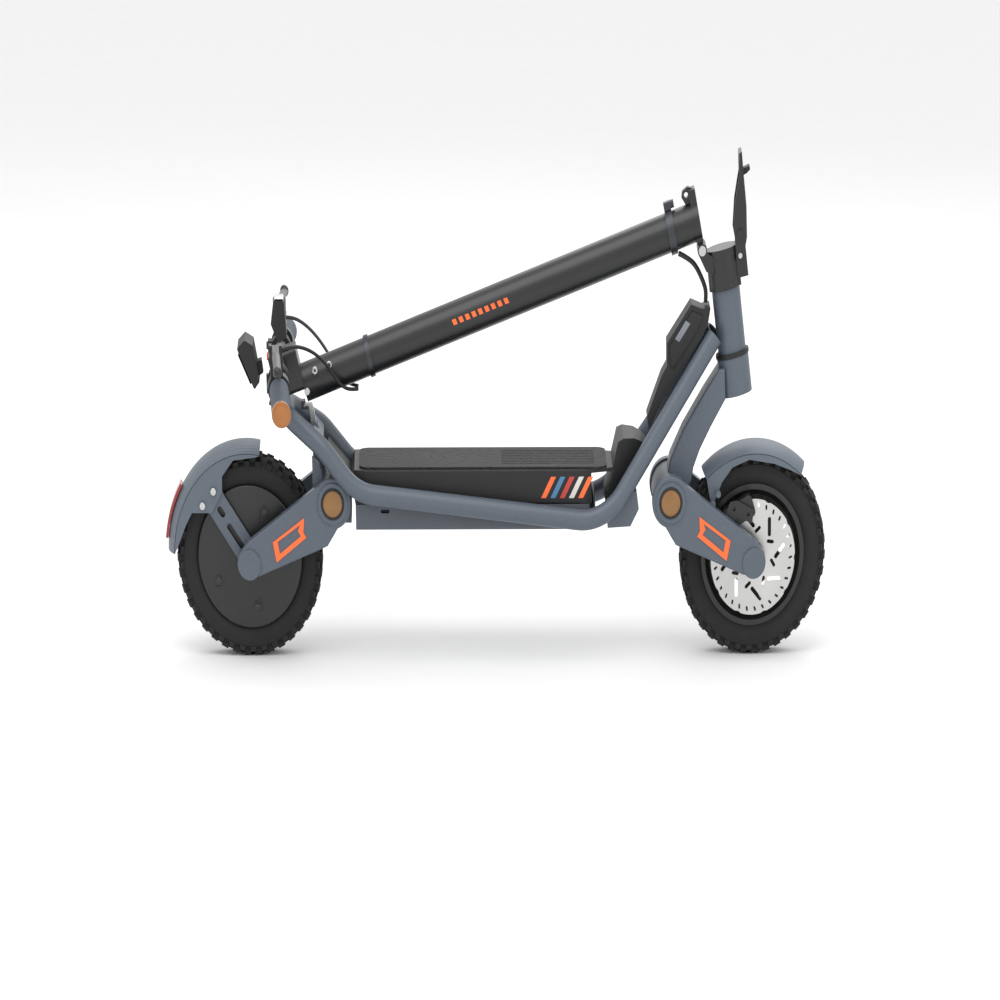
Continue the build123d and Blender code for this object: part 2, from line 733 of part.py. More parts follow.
# ---------------------------------------------------------------- fold joint
with BuildPart() as block:
    with BuildSketch(head.offset(head_top_t + 1)):
        Circle(29)
        with Locations((31, 0)):
            Rectangle(22, 34)
    extrude(amount=block_top_t - head_top_t - 1)
    with BuildSketch(head.offset(head_top_t + 1)):
        with Locations((38, 0)):
            Rectangle(20, 60)
    extrude(amount=9, mode=Mode.SUBTRACT)
    for y_left in (24.0, -10.0):
        with BuildSketch(crosswise(y_left)):
            with Locations((fold_x, fold_z)):
                Circle(knuckle_radius)
            with BuildLine():
                Polyline((fold_x - 6, fold_z - 6), (fold_x + 2, fold_z + 6), (fold_x + 9, fold_z - 4),
                         (fold_x + 20, fold_z - 8), (fold_x + 22, fold_z - 30),
                         (fold_x + 8, fold_z - 26), close=True)
            make_face()
        extrude(amount=14)
    with BuildSketch(head.offset(block_top_t)):
        Circle(60)
        with Locations((-41, 0)):
            Rectangle(38, 60, mode=Mode.SUBTRACT)
    extrude(amount=20, mode=Mode.SUBTRACT)
    with BuildSketch(crosswise(30)):
        with Locations((fold_x, fold_z)):
            Circle(fold_pin_radius + run_gap)
    extrude(amount=60, mode=Mode.SUBTRACT)
    with BuildSketch(crosswise(9.8)):
        with Locations((fold_x, fold_z)):
            Circle(knuckle_radius + 0.8)
    extrude(amount=19.6, mode=Mode.SUBTRACT)
    with BuildSketch(head.offset(head_top_t + 1)):
        Circle(steerer_radius + run_gap)
    extrude(amount=block_top_t - head_top_t - 8.8, mode=Mode.SUBTRACT)
    with BuildSketch(crosswise(30)):
        with Locations((latch_pivot.X, latch_pivot.Z)):
            Circle(latch_pin_radius)
    extrude(amount=60, mode=Mode.SUBTRACT)
save(block, "fold_block")

with BuildPart() as fold_pin:
    with BuildSketch(crosswise(24)):
        with Locations((fold_x, fold_z)):
            Circle(fold_pin_radius)
    extrude(amount=48)
    for y_left in (26.5, -24.0):
        with BuildSketch(crosswise(y_left)):
            with Locations((fold_x, fold_z)):
                Circle(6.5)
        extrude(amount=2.5)

latch_lean = radians(3.0)
latch_up = Vector(-sin(latch_lean), 0, cos(latch_lean))
latch_back = Vector(-cos(latch_lean), 0, -sin(latch_lean))


def on_latch(up, back):
    """Side-view point of the latch lever, measured from its pivot."""
    point = latch_pivot + latch_up * up + latch_back * back
    return (point.X, point.Z)


with BuildPart() as latch_pin:
    with BuildSketch(crosswise(24)):
        with Locations((latch_pivot.X, latch_pivot.Z)):
            Circle(latch_pin_radius)
    extrude(amount=48)
save_group((fold_pin.part, latch_pin.part), "fold_joint_pins")

lever_profile = ((-6, -5), (-6, 4), (0, 7), (17, 8), (32, 12), (66, 9), (88, 4), (100, 1), (124, 2),
                 (126, -3), (100, -6), (60, -11), (22, -12))
with BuildPart() as latch:
    for y_left in (21.0, -17.6):
        with BuildSketch(crosswise(y_left)):
            with BuildLine():
                Polyline([on_latch(up, back) for up, back in lever_profile], close=True)
            make_face()
        extrude(amount=3.4)
    web_profile = ((42, -11.5), (60, -11), (100, -6), (126, -3), (124, 2), (98, -1), (60, -7),
                   (42, -7.5))
    with BuildSketch(crosswise(17.6)):
        with BuildLine():
            Polyline([on_latch(up, back) for up, back in web_profile], close=True)
        make_face()
    extrude(amount=35.2)
    with BuildSketch(crosswise(22)):
        with Locations((latch_pivot.X, latch_pivot.Z)):
            Circle(latch_pin_radius + run_gap)
    extrude(amount=44, mode=Mode.SUBTRACT)

with BuildPart() as claw:
    with BuildSketch(crosswise(21.4)):
        with Locations(on_latch(27, 0)):
            Circle(5)
    extrude(amount=0.4)
    with BuildSketch(crosswise(24.5)):
        with Locations(on_latch(27, 0)):
            Circle(5)
    extrude(amount=3.4)
    with BuildSketch(crosswise(-21.1)):
        with Locations(on_latch(27, 0)):
            Circle(5)
    extrude(amount=3.4)
save_group((latch.part, claw.part), "latch_lever")

with BuildPart() as catch:
    with BuildSketch(crosswise(9)):
        with BuildLine():
            Polyline([on_latch(up, back) for up, back in
                      ((96, -6.6), (104, -6.2), (107, -17), (102, -18), (98, -12))], close=True)
        make_face()
    extrude(amount=18)
save(catch, "latch_safety_catch")

with BuildPart() as flange:
    with BuildSketch(stem):
        Circle(26)
        with Locations((28, 0)):
            Rectangle(28, 30)
        with Locations((-17, 0)):
            Rectangle(16, 36)
    extrude(amount=12)
    with BuildSketch(crosswise(6)):
        with BuildLine():
            ear = [on_stem(along, up) for along, up in ((3, 30), (3, 42), (12, 46), (22, 43),
                                                        (25, 36), (20, 25.6), (12, 25.6))]
            Polyline([(point.X, point.Z) for point in ear], close=True)
        make_face()
        with Locations([(point.X, point.Z) for point in (on_stem(16.5, 37),)]):
            Circle(3.6, mode=Mode.SUBTRACT)
    extrude(amount=12)
    with BuildSketch(crosswise(9.5)):
        with Locations((fold_x, fold_z)):
            Circle(knuckle_radius)
        with BuildLine():
            tongue = [on_stem(along, up) for along, up in ((1, -24), (12, -22), (9, -38), (-1, -34))]
            Polyline([(point.X, point.Z) for point in tongue], close=True)
        make_face()
    extrude(amount=19)
    with BuildSketch(stem):
        Circle(60)
    extrude(amount=-30, mode=Mode.SUBTRACT)
    with BuildSketch(crosswise(9.5)):
        with Locations((fold_x, fold_z)):
            Circle(knuckle_radius)
    extrude(amount=19)
    with BuildSketch(crosswise(20)):
        with Locations((fold_x, fold_z)):
            Circle(fold_pin_radius + run_gap)
    extrude(amount=40, mode=Mode.SUBTRACT)
save(flange, "stem_flange")


# ---------------------------------------------------------------- stem and handlebar
with BuildPart() as stem_tube:
    with BuildSketch(stem.offset(12)):
        Circle(stem_radius)
        Circle(stem_radius - stem_wall, mode=Mode.SUBTRACT)
    extrude(amount=738 - 12)
save(stem_tube, "stem_tube")

with BuildPart() as clamp_ring:
    with BuildSketch(stem.offset(46)):
        Circle(stem_radius + 4)
        with Locations((stem_radius + 5, 0)):
            Rectangle(16, 14)
        Circle(stem_radius, mode=Mode.SUBTRACT)
    extrude(amount=12)
    with BuildSketch(stem.offset(40)):
        with Locations((stem_radius + 8, 0)):
            RectangleRounded(10, 9, 3)
    extrude(amount=6)

with BuildPart() as bar_clamp:
    with BuildSketch(stem.offset(738)):
        with Locations((23.5, 0)):
            RectangleRounded(57, 58, 7)
    extrude(amount=52)
    fillet(bar_clamp.faces().sort_by(Axis.X)[0].edges(), 4)
    with BuildSketch(crosswise(30)):
        bar_spot = on_stem(bar_reach, bar_rise)
        with Locations((bar_spot.X, bar_spot.Z)):
            Circle(bar_radius + 0.05)
    extrude(amount=60, mode=Mode.SUBTRACT)
save(bar_clamp, "handlebar_clamp")

bar_end_drop = 11.0
bar_end_shift = 8.0
with BuildPart() as bar:
    with BuildLine() as bar_route:
        FilletPolyline(
            (bar_spot.X + bar_end_shift, -bar_half_width + 3, bar_spot.Z - bar_end_drop),
            (bar_spot.X, -150, bar_spot.Z),
            (bar_spot.X, 150, bar_spot.Z),
            (bar_spot.X + bar_end_shift, bar_half_width - 3, bar_spot.Z - bar_end_drop),
            radius=150,
        )
    with BuildSketch(Plane(origin=bar_route.line @ 0, z_dir=bar_route.line % 0)):
        Circle(bar_radius)
        Circle(bar_radius - 2.4, mode=Mode.SUBTRACT)
    sweep()
save(bar, "handlebar")

grip_tilt = {}
grips = []
bar_ends = []
for side, name in sides:
    bar_end = Vector(bar_spot.X + bar_end_shift, side * (bar_half_width - 3), bar_spot.Z - bar_end_drop)
    bar_bend = Vector(bar_spot.X, side * 150, bar_spot.Z)
    outward = (bar_end - bar_bend).normalized()
    grip_plane = Plane(origin=bar_end, x_dir=(1, 0, 0), z_dir=-outward)
    grip_tilt[name] = grip_plane
    with BuildPart() as grip:
        with BuildSketch(grip_plane.offset(3)):
            Circle(grip_radius)
            Circle(bar_radius + 0.05, mode=Mode.SUBTRACT)
        extrude(amount=126)
        for ring in range(1, 12):
            with BuildSketch(grip_plane.offset(3 + ring * 10)):
                Circle(grip_radius + 1)
                Circle(grip_radius - 0.8, mode=Mode.SUBTRACT)
            extrude(amount=1.6, mode=Mode.SUBTRACT)
    grips.append(grip.part)
    with BuildPart() as end_cap:
        with BuildSketch(grip_plane.offset(2.8)):
            Circle(grip_radius)
        extrude(amount=-3.6)
        with BuildSketch(grip_plane.offset(-0.8)):
            Circle(13)
        extrude(amount=-1.4)
        with BuildSketch(grip_plane):
            Circle(bar_radius - 2.5)
        extrude(amount=18)
        with BuildSketch(grip_plane):
            Circle(bar_radius - 0.0)
            Circle(bar_radius - 2.45, mode=Mode.SUBTRACT)
        extrude(amount=2.9, mode=Mode.SUBTRACT)
    bar_ends.append(end_cap.part)
save_group(grips, "handlebar_grips")
save_group(bar_ends, "bar_ends")

# brake levers and their perches stand in front of the bar, which is above it while folded
lever_height = 46.0
perches = []
for side, name in sides:
    grip_plane = grip_tilt[name]
    ring_plane = grip_plane.offset(133)
    lever_plane = Plane(origin=ring_plane.offset(6).origin, x_dir=(1, 0, 0), z_dir=ring_plane.z_dir)
    lift = 1 if lever_plane.y_dir.Z > 0 else -1
    with BuildPart() as perch:
        with BuildSketch(ring_plane):
            Circle(20)
            with Locations((-3, lift * 22)):
                Rectangle(22, 32)
            Circle(bar_radius + 0.08, mode=Mode.SUBTRACT)
        extrude(amount=22)
        with BuildSketch(ring_plane.offset(2)):
            with Locations((-13, lift * (lever_height - 2)), (5, lift * (lever_height - 2))):
                Rectangle(5, 24)
        extrude(amount=14)
    perches.append(perch.part)

    with BuildPart() as lever:
        with BuildSketch(ring_plane.offset(12)):
            with Locations((-4, lift * (lever_height + 3))):
                Rectangle(12, 12)
        extrude(amount=-30)
        with BuildSketch(ring_plane.offset(-18)):
            with Locations((-4, lift * (lever_height + 3))):
                Rectangle(12, 12)
        with BuildSketch(ring_plane.offset(-40)):
            with Locations((-4, lift * (lever_height + 6))):
                Ellipse(7, 4)
        loft()
        with BuildSketch(ring_plane.offset(-40)):
            with Locations((-4, lift * (lever_height + 6))):
                Ellipse(7, 4)
        extrude(amount=-88)
        with Locations(ring_plane.offset(-128).from_local_coords((-4, lift * (lever_height + 6), 0))):
            Sphere(8)
    save(lever, f"brake_lever_{name}")
save_group(perches, "brake_perches")

throttle_x, throttle_z = bar_spot.X, bar_spot.Z
with BuildPart() as throttle_body:
    with BuildSketch(crosswise(-112)):
        with Locations((throttle_x, throttle_z)):
            Circle(19)
            with Locations((-12, -6)):
                Rectangle(20, 24)
            Circle(bar_radius + 0.08, mode=Mode.SUBTRACT)
    extrude(amount=12)

with BuildPart() as throttle:
    with BuildSketch(crosswise(-124.4)):
        with Locations((throttle_x, throttle_z)):
            Circle(18)
            with Locations((-10, -22)):
                Rectangle(11, 22, rotation=-20)
            Circle(bar_radius + 0.4, mode=Mode.SUBTRACT)
    extrude(amount=9)
save(throttle, "thumb_throttle")

with BuildPart() as switch_pod:
    with BuildSketch(crosswise(136)):
        with Locations((throttle_x, throttle_z)):
            Circle(18)
            with Locations((-14, -4)):
                Rectangle(20, 28)
            Circle(bar_radius + 0.08, mode=Mode.SUBTRACT)
    extrude(amount=26)
    with BuildSketch(Plane.YZ.offset(throttle_x - 24)):
        with Locations((123, throttle_z + 3), (123, throttle_z - 11)):
            RectangleRounded(14.6, 9.6, 2)
    extrude(amount=5, mode=Mode.SUBTRACT)
save_group((throttle_body.part, switch_pod.part), "bar_control_housings")

for label, drop in (("light_button", 3), ("horn_button", -11)):
    with BuildPart() as button:
        with BuildSketch(Plane.YZ.offset(throttle_x - 27)):
            with Locations((123, throttle_z + drop)):
                RectangleRounded(13.8, 8.8, 1.8)
        extrude(amount=5)
    save(button, label)

with BuildPart() as display:
    with BuildSketch(crosswise(36)):
        with BuildLine():
            Polyline((-466, 408), (-452, 419), (-437, 412), (-427, 366), (-437, 356), close=True)
        make_face()
    extrude(amount=72)
    fillet(display.edges().filter_by(Axis.Y), 2)
    with BuildSketch(crosswise(12)):
        with BuildLine():
            Polyline((-432, 388), (-423.5, 390.5), (-420.5, 374), (-428, 370), close=True)
        make_face()
    extrude(amount=24)

with BuildPart() as screen:
    with BuildSketch(crosswise(29)):
        with BuildLine():
            Polyline((-462.2, 400.8), (-441.4, 363.5), (-443.9, 362.1), (-464.7, 399.4), close=True)
        make_face()
    extrude(amount=58)
save_group((display.part, screen.part), "display_housing")

with BuildPart() as headlight:
    with BuildSketch(crosswise(24)):
        with BuildLine():
            Polyline((-404, 437), (-398, 466), (-379, 466), (-376, 420), (-392, 414), close=True)
        make_face()
    extrude(amount=48)
    fillet(headlight.edges().filter_by(Axis.Y), 2)

with BuildPart() as lens:
    with BuildSketch(crosswise(20)):
        with BuildLine():
            Polyline((-396, 466), (-396, 468), (-381, 468), (-381, 466), close=True)
        make_face()
    extrude(amount=40)
save_group((headlight.part, lens.part), "headlight")

with BuildPart() as striker:
    with BuildSketch(crosswise(10)):
        with BuildLine():
            Polyline((-354, 326.5), (-341, 326.5), (-341, 329.4), (-350.5, 329.4), (-346, 337),
                     (-354, 337), close=True)
        make_face()
    extrude(amount=20)
    with BuildSketch(stem.offset(640)):
        Circle(stem_radius)
    extrude(amount=98, mode=Mode.SUBTRACT)

with BuildPart() as hook:
    with BuildSketch(crosswise(5)):
        with Locations(hook_pivot):
            Circle(5)
        with BuildLine():
            Polyline((-336, 304), (-339.5, 329.9), (-346, 330.2), (-346, 333), (-334, 334),
                     (-331, 326), (-327, 305), close=True)
        make_face()
        with Locations(hook_pivot):
            Circle(2.55, mode=Mode.SUBTRACT)
    extrude(amount=10)
save(hook, "fold_hook")

with BuildPart() as stem_bolts:
    for x, z in ((-327, 377), (-302, 384)):
        for y_left in (-stem_radius + 3, stem_radius + 1.5):
            with BuildSketch(crosswise(y_left)):
                with Locations((x, z)):
                    Circle(5)
            extrude(amount=4.5)
    with BuildSketch(stem.offset(12)):
        Circle(stem_radius)
    extrude(amount=726, mode=Mode.SUBTRACT)
with BuildPart() as cable_clip:
    with BuildSketch(stem.offset(610)):
        Circle(stem_radius + 2.5)
        Circle(stem_radius, mode=Mode.SUBTRACT)
    extrude(amount=8)
save_group((clamp_ring.part, striker.part, stem_bolts.part, cable_clip.part), "stem_fittings")

# ---------------------------------------------------------------- kickstand
stand_pivot = (-40.0, 62.0, 170.0)
stand_length = 172.0
with BuildPart() as stand_bracket:
    with BuildSketch(Plane.XY.offset(deck_floor_z)):
        with Locations((stand_pivot[0] + 24, stand_pivot[1])):
            Rectangle(26, 30)
    extrude(amount=-4)
    with BuildSketch(Plane.XY.offset(deck_floor_z - 4)):
        with Locations((stand_pivot[0] + 21, stand_pivot[1])):
            Rectangle(20, 22)
    extrude(amount=-12)
save_group((rear_housing.part, lugs.part, stand_bracket.part), "frame_castings")

with BuildPart() as kickstand:
    with BuildSketch(Plane.YZ.offset(stand_pivot[0] + 5.5)):
        with Locations((stand_pivot[1], stand_pivot[2])):
            Circle(5.5)
    extrude(amount=-stand_length)
    with BuildSketch(Plane.YZ.offset(stand_pivot[0] - stand_length + 12)):
        with Locations((stand_pivot[1], stand_pivot[2])):
            Circle(7.5)
    extrude(amount=-16)
save(kickstand, "kickstand_leg")

# ---------------------------------------------------------------- cables


def cable_radii(points):
    """Largest tangent radius at each corner of a cable route: 0.45 of the shorter run."""
    radii = []
    for before, here, after in zip(points, points[1:], points[2:]):
        run_in = Vector(*here) - Vector(*before)
        run_out = Vector(*after) - Vector(*here)
        turn = radians(run_in.get_angle(run_out))
        radii.append(0.45 * min(run_in.length, run_out.length) / tan(turn / 2))
    return tuple(radii)


cable_sets = (
    ("main_cable_upper", 3.5, ((326, 0, 520.5), (344, 0, 514.5), (360, 0, 503), (370, 0, 487))),
    ("main_cable_lower", 3.5, ((370, 0, 487), (375, 0, 479), (377, 0, 469), (376.5, 0, 459.5))),
    ("brake_cable_right", 2.5, ((-394, -135, 421), (-372, -120, 424), (-350, -98, 421),
                                (-326, -72, 409), (-304, -50, 390), (-286, -36, 366),
                                (-268, -24, 353), (-250, -12, 353))),
    ("brake_cable_left", 2.5, ((-394, 135, 421), (-372, 120, 424), (-350, 98, 421),
                               (-326, 72, 409), (-304, 50, 390), (-286, 36, 366),
                               (-268, 24, 353), (-250, 12, 353))),
)
brake_cables = []
for label, cable_radius, points in cable_sets:
    radii = cable_radii(points)
    print(label, "radii", [round(radius, 1) for radius in radii])
    with BuildPart() as cable:
        with BuildLine() as route:
            FilletPolyline(*points, radius=radii)
        with BuildSketch(Plane(origin=route.line @ 0, z_dir=route.line % 0)):
            Circle(cable_radius)
        sweep()
    run = sum(edge.length for edge in route.edges())
    print(label, round(run, 1), round(cable.part.volume / (pi * cable_radius**2 * run), 4))
    if label.startswith("brake"):
        brake_cables.append(cable.part)
    else:
        save(cable, label)
save_group(brake_cables, "brake_cables")
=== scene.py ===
"""Dresses the folded electric kick scooter: finishes, small parts, light and camera."""

import json
import logging
import math
from dataclasses import dataclass, field
from enum import Enum

import bpy
from mathutils import Matrix, Vector

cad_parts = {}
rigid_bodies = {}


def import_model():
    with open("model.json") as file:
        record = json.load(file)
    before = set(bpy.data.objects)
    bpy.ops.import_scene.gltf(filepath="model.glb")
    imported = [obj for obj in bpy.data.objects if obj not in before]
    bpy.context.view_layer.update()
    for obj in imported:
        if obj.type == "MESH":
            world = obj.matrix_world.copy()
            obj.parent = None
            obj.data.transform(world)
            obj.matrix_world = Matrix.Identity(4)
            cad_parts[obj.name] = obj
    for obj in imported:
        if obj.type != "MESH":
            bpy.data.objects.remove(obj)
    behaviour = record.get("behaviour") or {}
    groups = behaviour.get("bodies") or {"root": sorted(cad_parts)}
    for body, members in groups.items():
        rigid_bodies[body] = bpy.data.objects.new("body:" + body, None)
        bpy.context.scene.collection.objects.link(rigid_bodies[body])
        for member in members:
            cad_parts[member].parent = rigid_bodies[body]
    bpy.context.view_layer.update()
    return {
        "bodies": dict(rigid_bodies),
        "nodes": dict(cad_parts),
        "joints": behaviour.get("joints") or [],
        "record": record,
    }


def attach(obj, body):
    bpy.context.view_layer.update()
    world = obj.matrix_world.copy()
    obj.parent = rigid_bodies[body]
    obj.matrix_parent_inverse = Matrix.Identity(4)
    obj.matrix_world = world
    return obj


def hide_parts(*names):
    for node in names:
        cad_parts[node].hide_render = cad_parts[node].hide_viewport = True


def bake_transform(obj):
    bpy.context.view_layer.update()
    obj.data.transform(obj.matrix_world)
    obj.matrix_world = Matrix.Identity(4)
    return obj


LOG = logging.getLogger("scooter")
MM = 0.001
QUARTER_TURN = math.pi / 2
# points closer than this, in metres, become one
MERGE_M = 1e-5
# faces this near the top, in metres, count as the top
LEVEL_M = 1e-6
# how far a printed film stands out of its surface
FILM_PROUD_MM = 0.25
# gloss of the clear coat on every coated finish
COAT_ROUGHNESS = 0.25

Point = tuple[float, float, float]


class Body(Enum):
    """Moving bodies that pieces ride on."""

    FRAME = "frame"
    FORK = "fork"
    STEM = "stem"
    FRONT_ARM = "front_suspension"
    REAR_ARM = "rear_suspension"
    FRONT_WHEEL = "front_wheel"
    REAR_WHEEL = "rear_wheel"


class Side(Enum):
    """Side of the scooter, as the sign of Y."""

    RIGHT = -1
    LEFT = 1


# ---------------------------------------------------------------- finishes


def linear(code: str) -> tuple[float, float, float, float]:
    """Turns an sRGB hex colour into a linear colour.

    Args:
        code: six hex digits, with or without the hash sign.

    Returns:
        Linear red, green, blue and an alpha of 1.
    """
    digits = code.lstrip("#")
    channels = [int(digits[at : at + 2], 16) / 255 for at in (0, 2, 4)]
    return (*[c / 12.92 if c <= 0.04045 else ((c + 0.055) / 1.055) ** 2.4 for c in channels], 1.0)


def add_node(
    tree: bpy.types.NodeTree,
    kind: str,
    links: dict[str | int, bpy.types.NodeSocket] | None = None,
    values: dict[str | int, object] | None = None,
    **settings: object,
) -> bpy.types.Node:
    """Adds one shader node with its settings, socket values and incoming links.

    Args:
        tree: the material's node tree.
        kind: the node's type name.
        links: input socket name or index to the socket that feeds it.
        values: input socket name or index to its constant.
        settings: attributes of the node itself.

    Returns:
        The new node.
    """
    node = tree.nodes.new(kind)
    for name, value in settings.items():
        setattr(node, name, value)
    for socket, value in (values or {}).items():
        node.inputs[socket].default_value = value
    for socket, source in (links or {}).items():
        tree.links.new(source, node.inputs[socket])
    return node


@dataclass(frozen=True)
class Finish:
    """A surface with two close shades that wander over it and a fine relief."""

    name: str
    light: str
    dark: str
    roughness: float
    grain_mm: float
    relief_mm: float
    metallic: float = 0.0
    ior: float = 1.5
    coat: float = 0.0
    drift_mm: float = 60.0

    def relief(self, tree: bpy.types.NodeTree, place: bpy.types.NodeSocket) -> bpy.types.NodeSocket:
        """Draws an even moulded or sprayed grain.

        Args:
            tree: the material's node tree.
            place: socket with the place on the piece.

        Returns:
            Socket with the height.
        """
        scale = 1.0 / (self.grain_mm * MM)
        grain = add_node(
            tree, "ShaderNodeTexNoise", {"Vector": place}, {"Scale": scale, "Detail": 2.0}
        )
        return grain.outputs["Fac"]

    def tint(self, tree: bpy.types.NodeTree, place: bpy.types.NodeSocket) -> bpy.types.NodeSocket:
        """Lets the colour drift slowly between the two shades.

        Args:
            tree: the material's node tree.
            place: socket with the place on the piece.

        Returns:
            Socket with the colour.
        """
        drift = add_node(
            tree,
            "ShaderNodeTexNoise",
            {"Vector": place},
            {"Scale": 1.0 / (self.drift_mm * MM), "Detail": 3.0},
        )
        mix = add_node(
            tree,
            "ShaderNodeMix",
            {"Factor": drift.outputs["Fac"]},
            {6: linear(self.dark), 7: linear(self.light)},
            data_type="RGBA",
        )
        return mix.outputs[2]

    def material(self) -> bpy.types.Material:
        """Builds the material once and gives it again on every later call.

        Returns:
            The material of this finish.
        """
        made = bpy.data.materials.get(self.name)
        if made is not None:
            return made
        made = bpy.data.materials.new(self.name)
        made.use_nodes = True
        tree = made.node_tree
        surface = tree.nodes["Principled BSDF"]
        place = add_node(tree, "ShaderNodeTexCoord").outputs["Object"]
        bump = add_node(
            tree,
            "ShaderNodeBump",
            {"Height": self.relief(tree, place)},
            {"Strength": 1.0, "Distance": self.relief_mm * MM},
        )
        tree.links.new(self.tint(tree, place), surface.inputs["Base Color"])
        tree.links.new(bump.outputs["Normal"], surface.inputs["Normal"])
        surface.inputs["Roughness"].default_value = self.roughness
        surface.inputs["Metallic"].default_value = self.metallic
        surface.inputs["IOR"].default_value = self.ior
        surface.inputs["Coat Weight"].default_value = self.coat
        surface.inputs["Coat Roughness"].default_value = COAT_ROUGHNESS
        self.extras(surface)
        return made

    def extras(self, surface: bpy.types.Node) -> None:
        """Sets what only some finishes have; the plain finish has nothing more."""


@dataclass(frozen=True)
class TurnedMetal(Finish):
    """Metal with fine parallel tool marks across the scooter."""

    stretch: float = 0.06

    def relief(self, tree: bpy.types.NodeTree, place: bpy.types.NodeSocket) -> bpy.types.NodeSocket:
        """Draws long streaks, coarser than real tool marks so that they show.

        Args:
            tree: the material's node tree.
            place: socket with the place on the piece.

        Returns:
            Socket with the height.
        """
        drawn = add_node(
            tree, "ShaderNodeMapping", {"Vector": place}, {"Scale": (1.0, self.stretch, 1.0)}
        )
        scale = 1.0 / (self.grain_mm * MM)
        streaks = add_node(
            tree,
            "ShaderNodeTexNoise",
            {"Vector": drawn.outputs["Vector"]},
            {"Scale": scale, "Detail": 2.0},
        )
        return streaks.outputs["Fac"]


@dataclass(frozen=True)
class PrismLens(Finish):
    """Acrylic with a moulded field of small corner prisms behind a gloss face, and a faint painted
    glow.
    """

    # strength of the painted glow: emission that stands in for light scattered inside the lens
    painted_glow: float = 0.0

    def relief(self, tree: bpy.types.NodeTree, place: bpy.types.NodeSocket) -> bpy.types.NodeSocket:
        """Draws the prism cells.

        Args:
            tree: the material's node tree.
            place: socket with the place on the piece.

        Returns:
            Socket with the height.
        """
        cells = add_node(
            tree,
            "ShaderNodeTexVoronoi",
            {"Vector": place},
            {"Scale": 1.0 / (self.grain_mm * MM), "Randomness": 0.15},
        )
        return cells.outputs["Distance"]

    def extras(self, surface: bpy.types.Node) -> None:
        """Paints a faint glow into the lens in its light shade: painted light standing in for light
        scattered inside it.
        """
        surface.inputs["Emission Color"].default_value = linear(self.light)
        surface.inputs["Emission Strength"].default_value = self.painted_glow


@dataclass(frozen=True)
class ContourMat(Finish):
    """Moulded rubber mat with winding contour grooves."""

    hill_mm: float = 1000.0 / 9.0
    hill_fall_mm: float = 300.0
    groove_mm: float = 9.0
    groove_floor: float = 0.12
    groove_edge: float = 0.3

    def relief(self, tree: bpy.types.NodeTree, place: bpy.types.NodeSocket) -> bpy.types.NodeSocket:
        """Draws bands at even heights of a slow hill pattern, as on a map.

        Args:
            tree: the material's node tree.
            place: socket with the place on the piece.

        Returns:
            Socket with the height.
        """
        scale = 1.0 / (self.hill_mm * MM)
        hills = add_node(
            tree, "ShaderNodeTexNoise", {"Vector": place}, {"Scale": scale, "Detail": 0.5}
        )
        bands = add_node(
            tree,
            "ShaderNodeMath",
            {0: hills.outputs["Fac"]},
            {1: self.hill_fall_mm / self.groove_mm},
            operation="MULTIPLY",
        )
        height = add_node(
            tree, "ShaderNodeMath", {0: bands.outputs[0]}, {1: 1.0}, operation="PINGPONG"
        )
        edge = add_node(
            tree,
            "ShaderNodeMapRange",
            {"Value": height.outputs[0]},
            {"From Min": self.groove_floor, "From Max": self.groove_edge},
        )
        return edge.outputs["Result"]


@dataclass(frozen=True)
class RibbedShell(Finish):
    """Moulded shell whose crown carries ribs that run round the wheel."""

    rib_mm: float = 7.0

    def relief(self, tree: bpy.types.NodeTree, place: bpy.types.NodeSocket) -> bpy.types.NodeSocket:
        """Draws ribs side by side across the width.

        Args:
            tree: the material's node tree.
            place: socket with the place on the piece.

        Returns:
            Socket with the height.
        """
        ribs = add_node(
            tree,
            "ShaderNodeTexWave",
            {"Vector": place},
            {"Scale": math.pi / 10 / (self.rib_mm * MM), "Distortion": 0.0},
            wave_type="BANDS",
            bands_direction="Y",
        )
        return ribs.outputs["Fac"]


# polyester powder coat, sprayed and baked: even satin with a slight orange peel
FRAME_COAT = Finish(
    "blue grey powder coat", "#59626D", "#48515B", 0.45, 1.6, 0.06, coat=0.1, drift_mm=2.2
)
# polyester powder coat with a satin additive: deep black, smooth highlights
STEM_COAT = Finish("black satin powder coat", "#18191A", "#111213", 0.38, 1.2, 0.03, coat=0.2)
# ABS from a spark-eroded mould: a dull sheen that breaks up highlights
COVER_PLASTIC = Finish("black textured abs", "#18181A", "#121213", 0.55, 0.9, 0.05)
# polypropylene, injection moulded: softer and duller than the abs
TRAY_PLASTIC = Finish("grey textured polypropylene", "#565C64", "#4C5259", 0.6, 1.0, 0.05)
# glass-filled nylon, moulded and painted: even satin, matched to the frame
FENDER_SHELL = Finish("blue grey painted nylon", "#5D6670", "#525B65", 0.45, 1.2, 0.03)
RIBBED_FENDER = RibbedShell("ribbed painted nylon", "#5D6670", "#525B65", 0.45, 1.2, 0.3)
# carbon-filled tyre rubber: nearly black, dull, dusty on the blocks
TYRE_RUBBER = Finish("tyre rubber", "#1C1C1C", "#121213", 0.78, 1.6, 0.08, drift_mm=25.0)
# thermoplastic rubber, moulded: dull and a little soft to the eye
GRIP_RUBBER = Finish("blue grey thermoplastic rubber", "#525B66", "#48515B", 0.7, 0.8, 0.06)
# natural rubber sheet, pressed: dull charcoal with cut grooves
MAT_RUBBER = ContourMat("moulded deck rubber", "#1F1F20", "#171718", 0.72, 1.0, 0.9)
# aluminium, die cast and vapour blasted: pale, soft and without streaks
CAST_ALLOY = Finish("blasted aluminium", "#B4B6B8", "#9B9DA0", 0.42, 0.8, 0.03, metallic=1.0)
# stainless steel, ground: bright with straight streaks
GROUND_STEEL = TurnedMetal("ground stainless steel", "#D2D2D0", "#B5B5B3", 0.3, 0.8, 0.02, 1.0)
# carbon steel, oil blackened: dark, with softer streaks
DARK_STEEL = TurnedMetal("blackened steel", "#55565A", "#3C3D40", 0.4, 0.8, 0.02, 1.0)
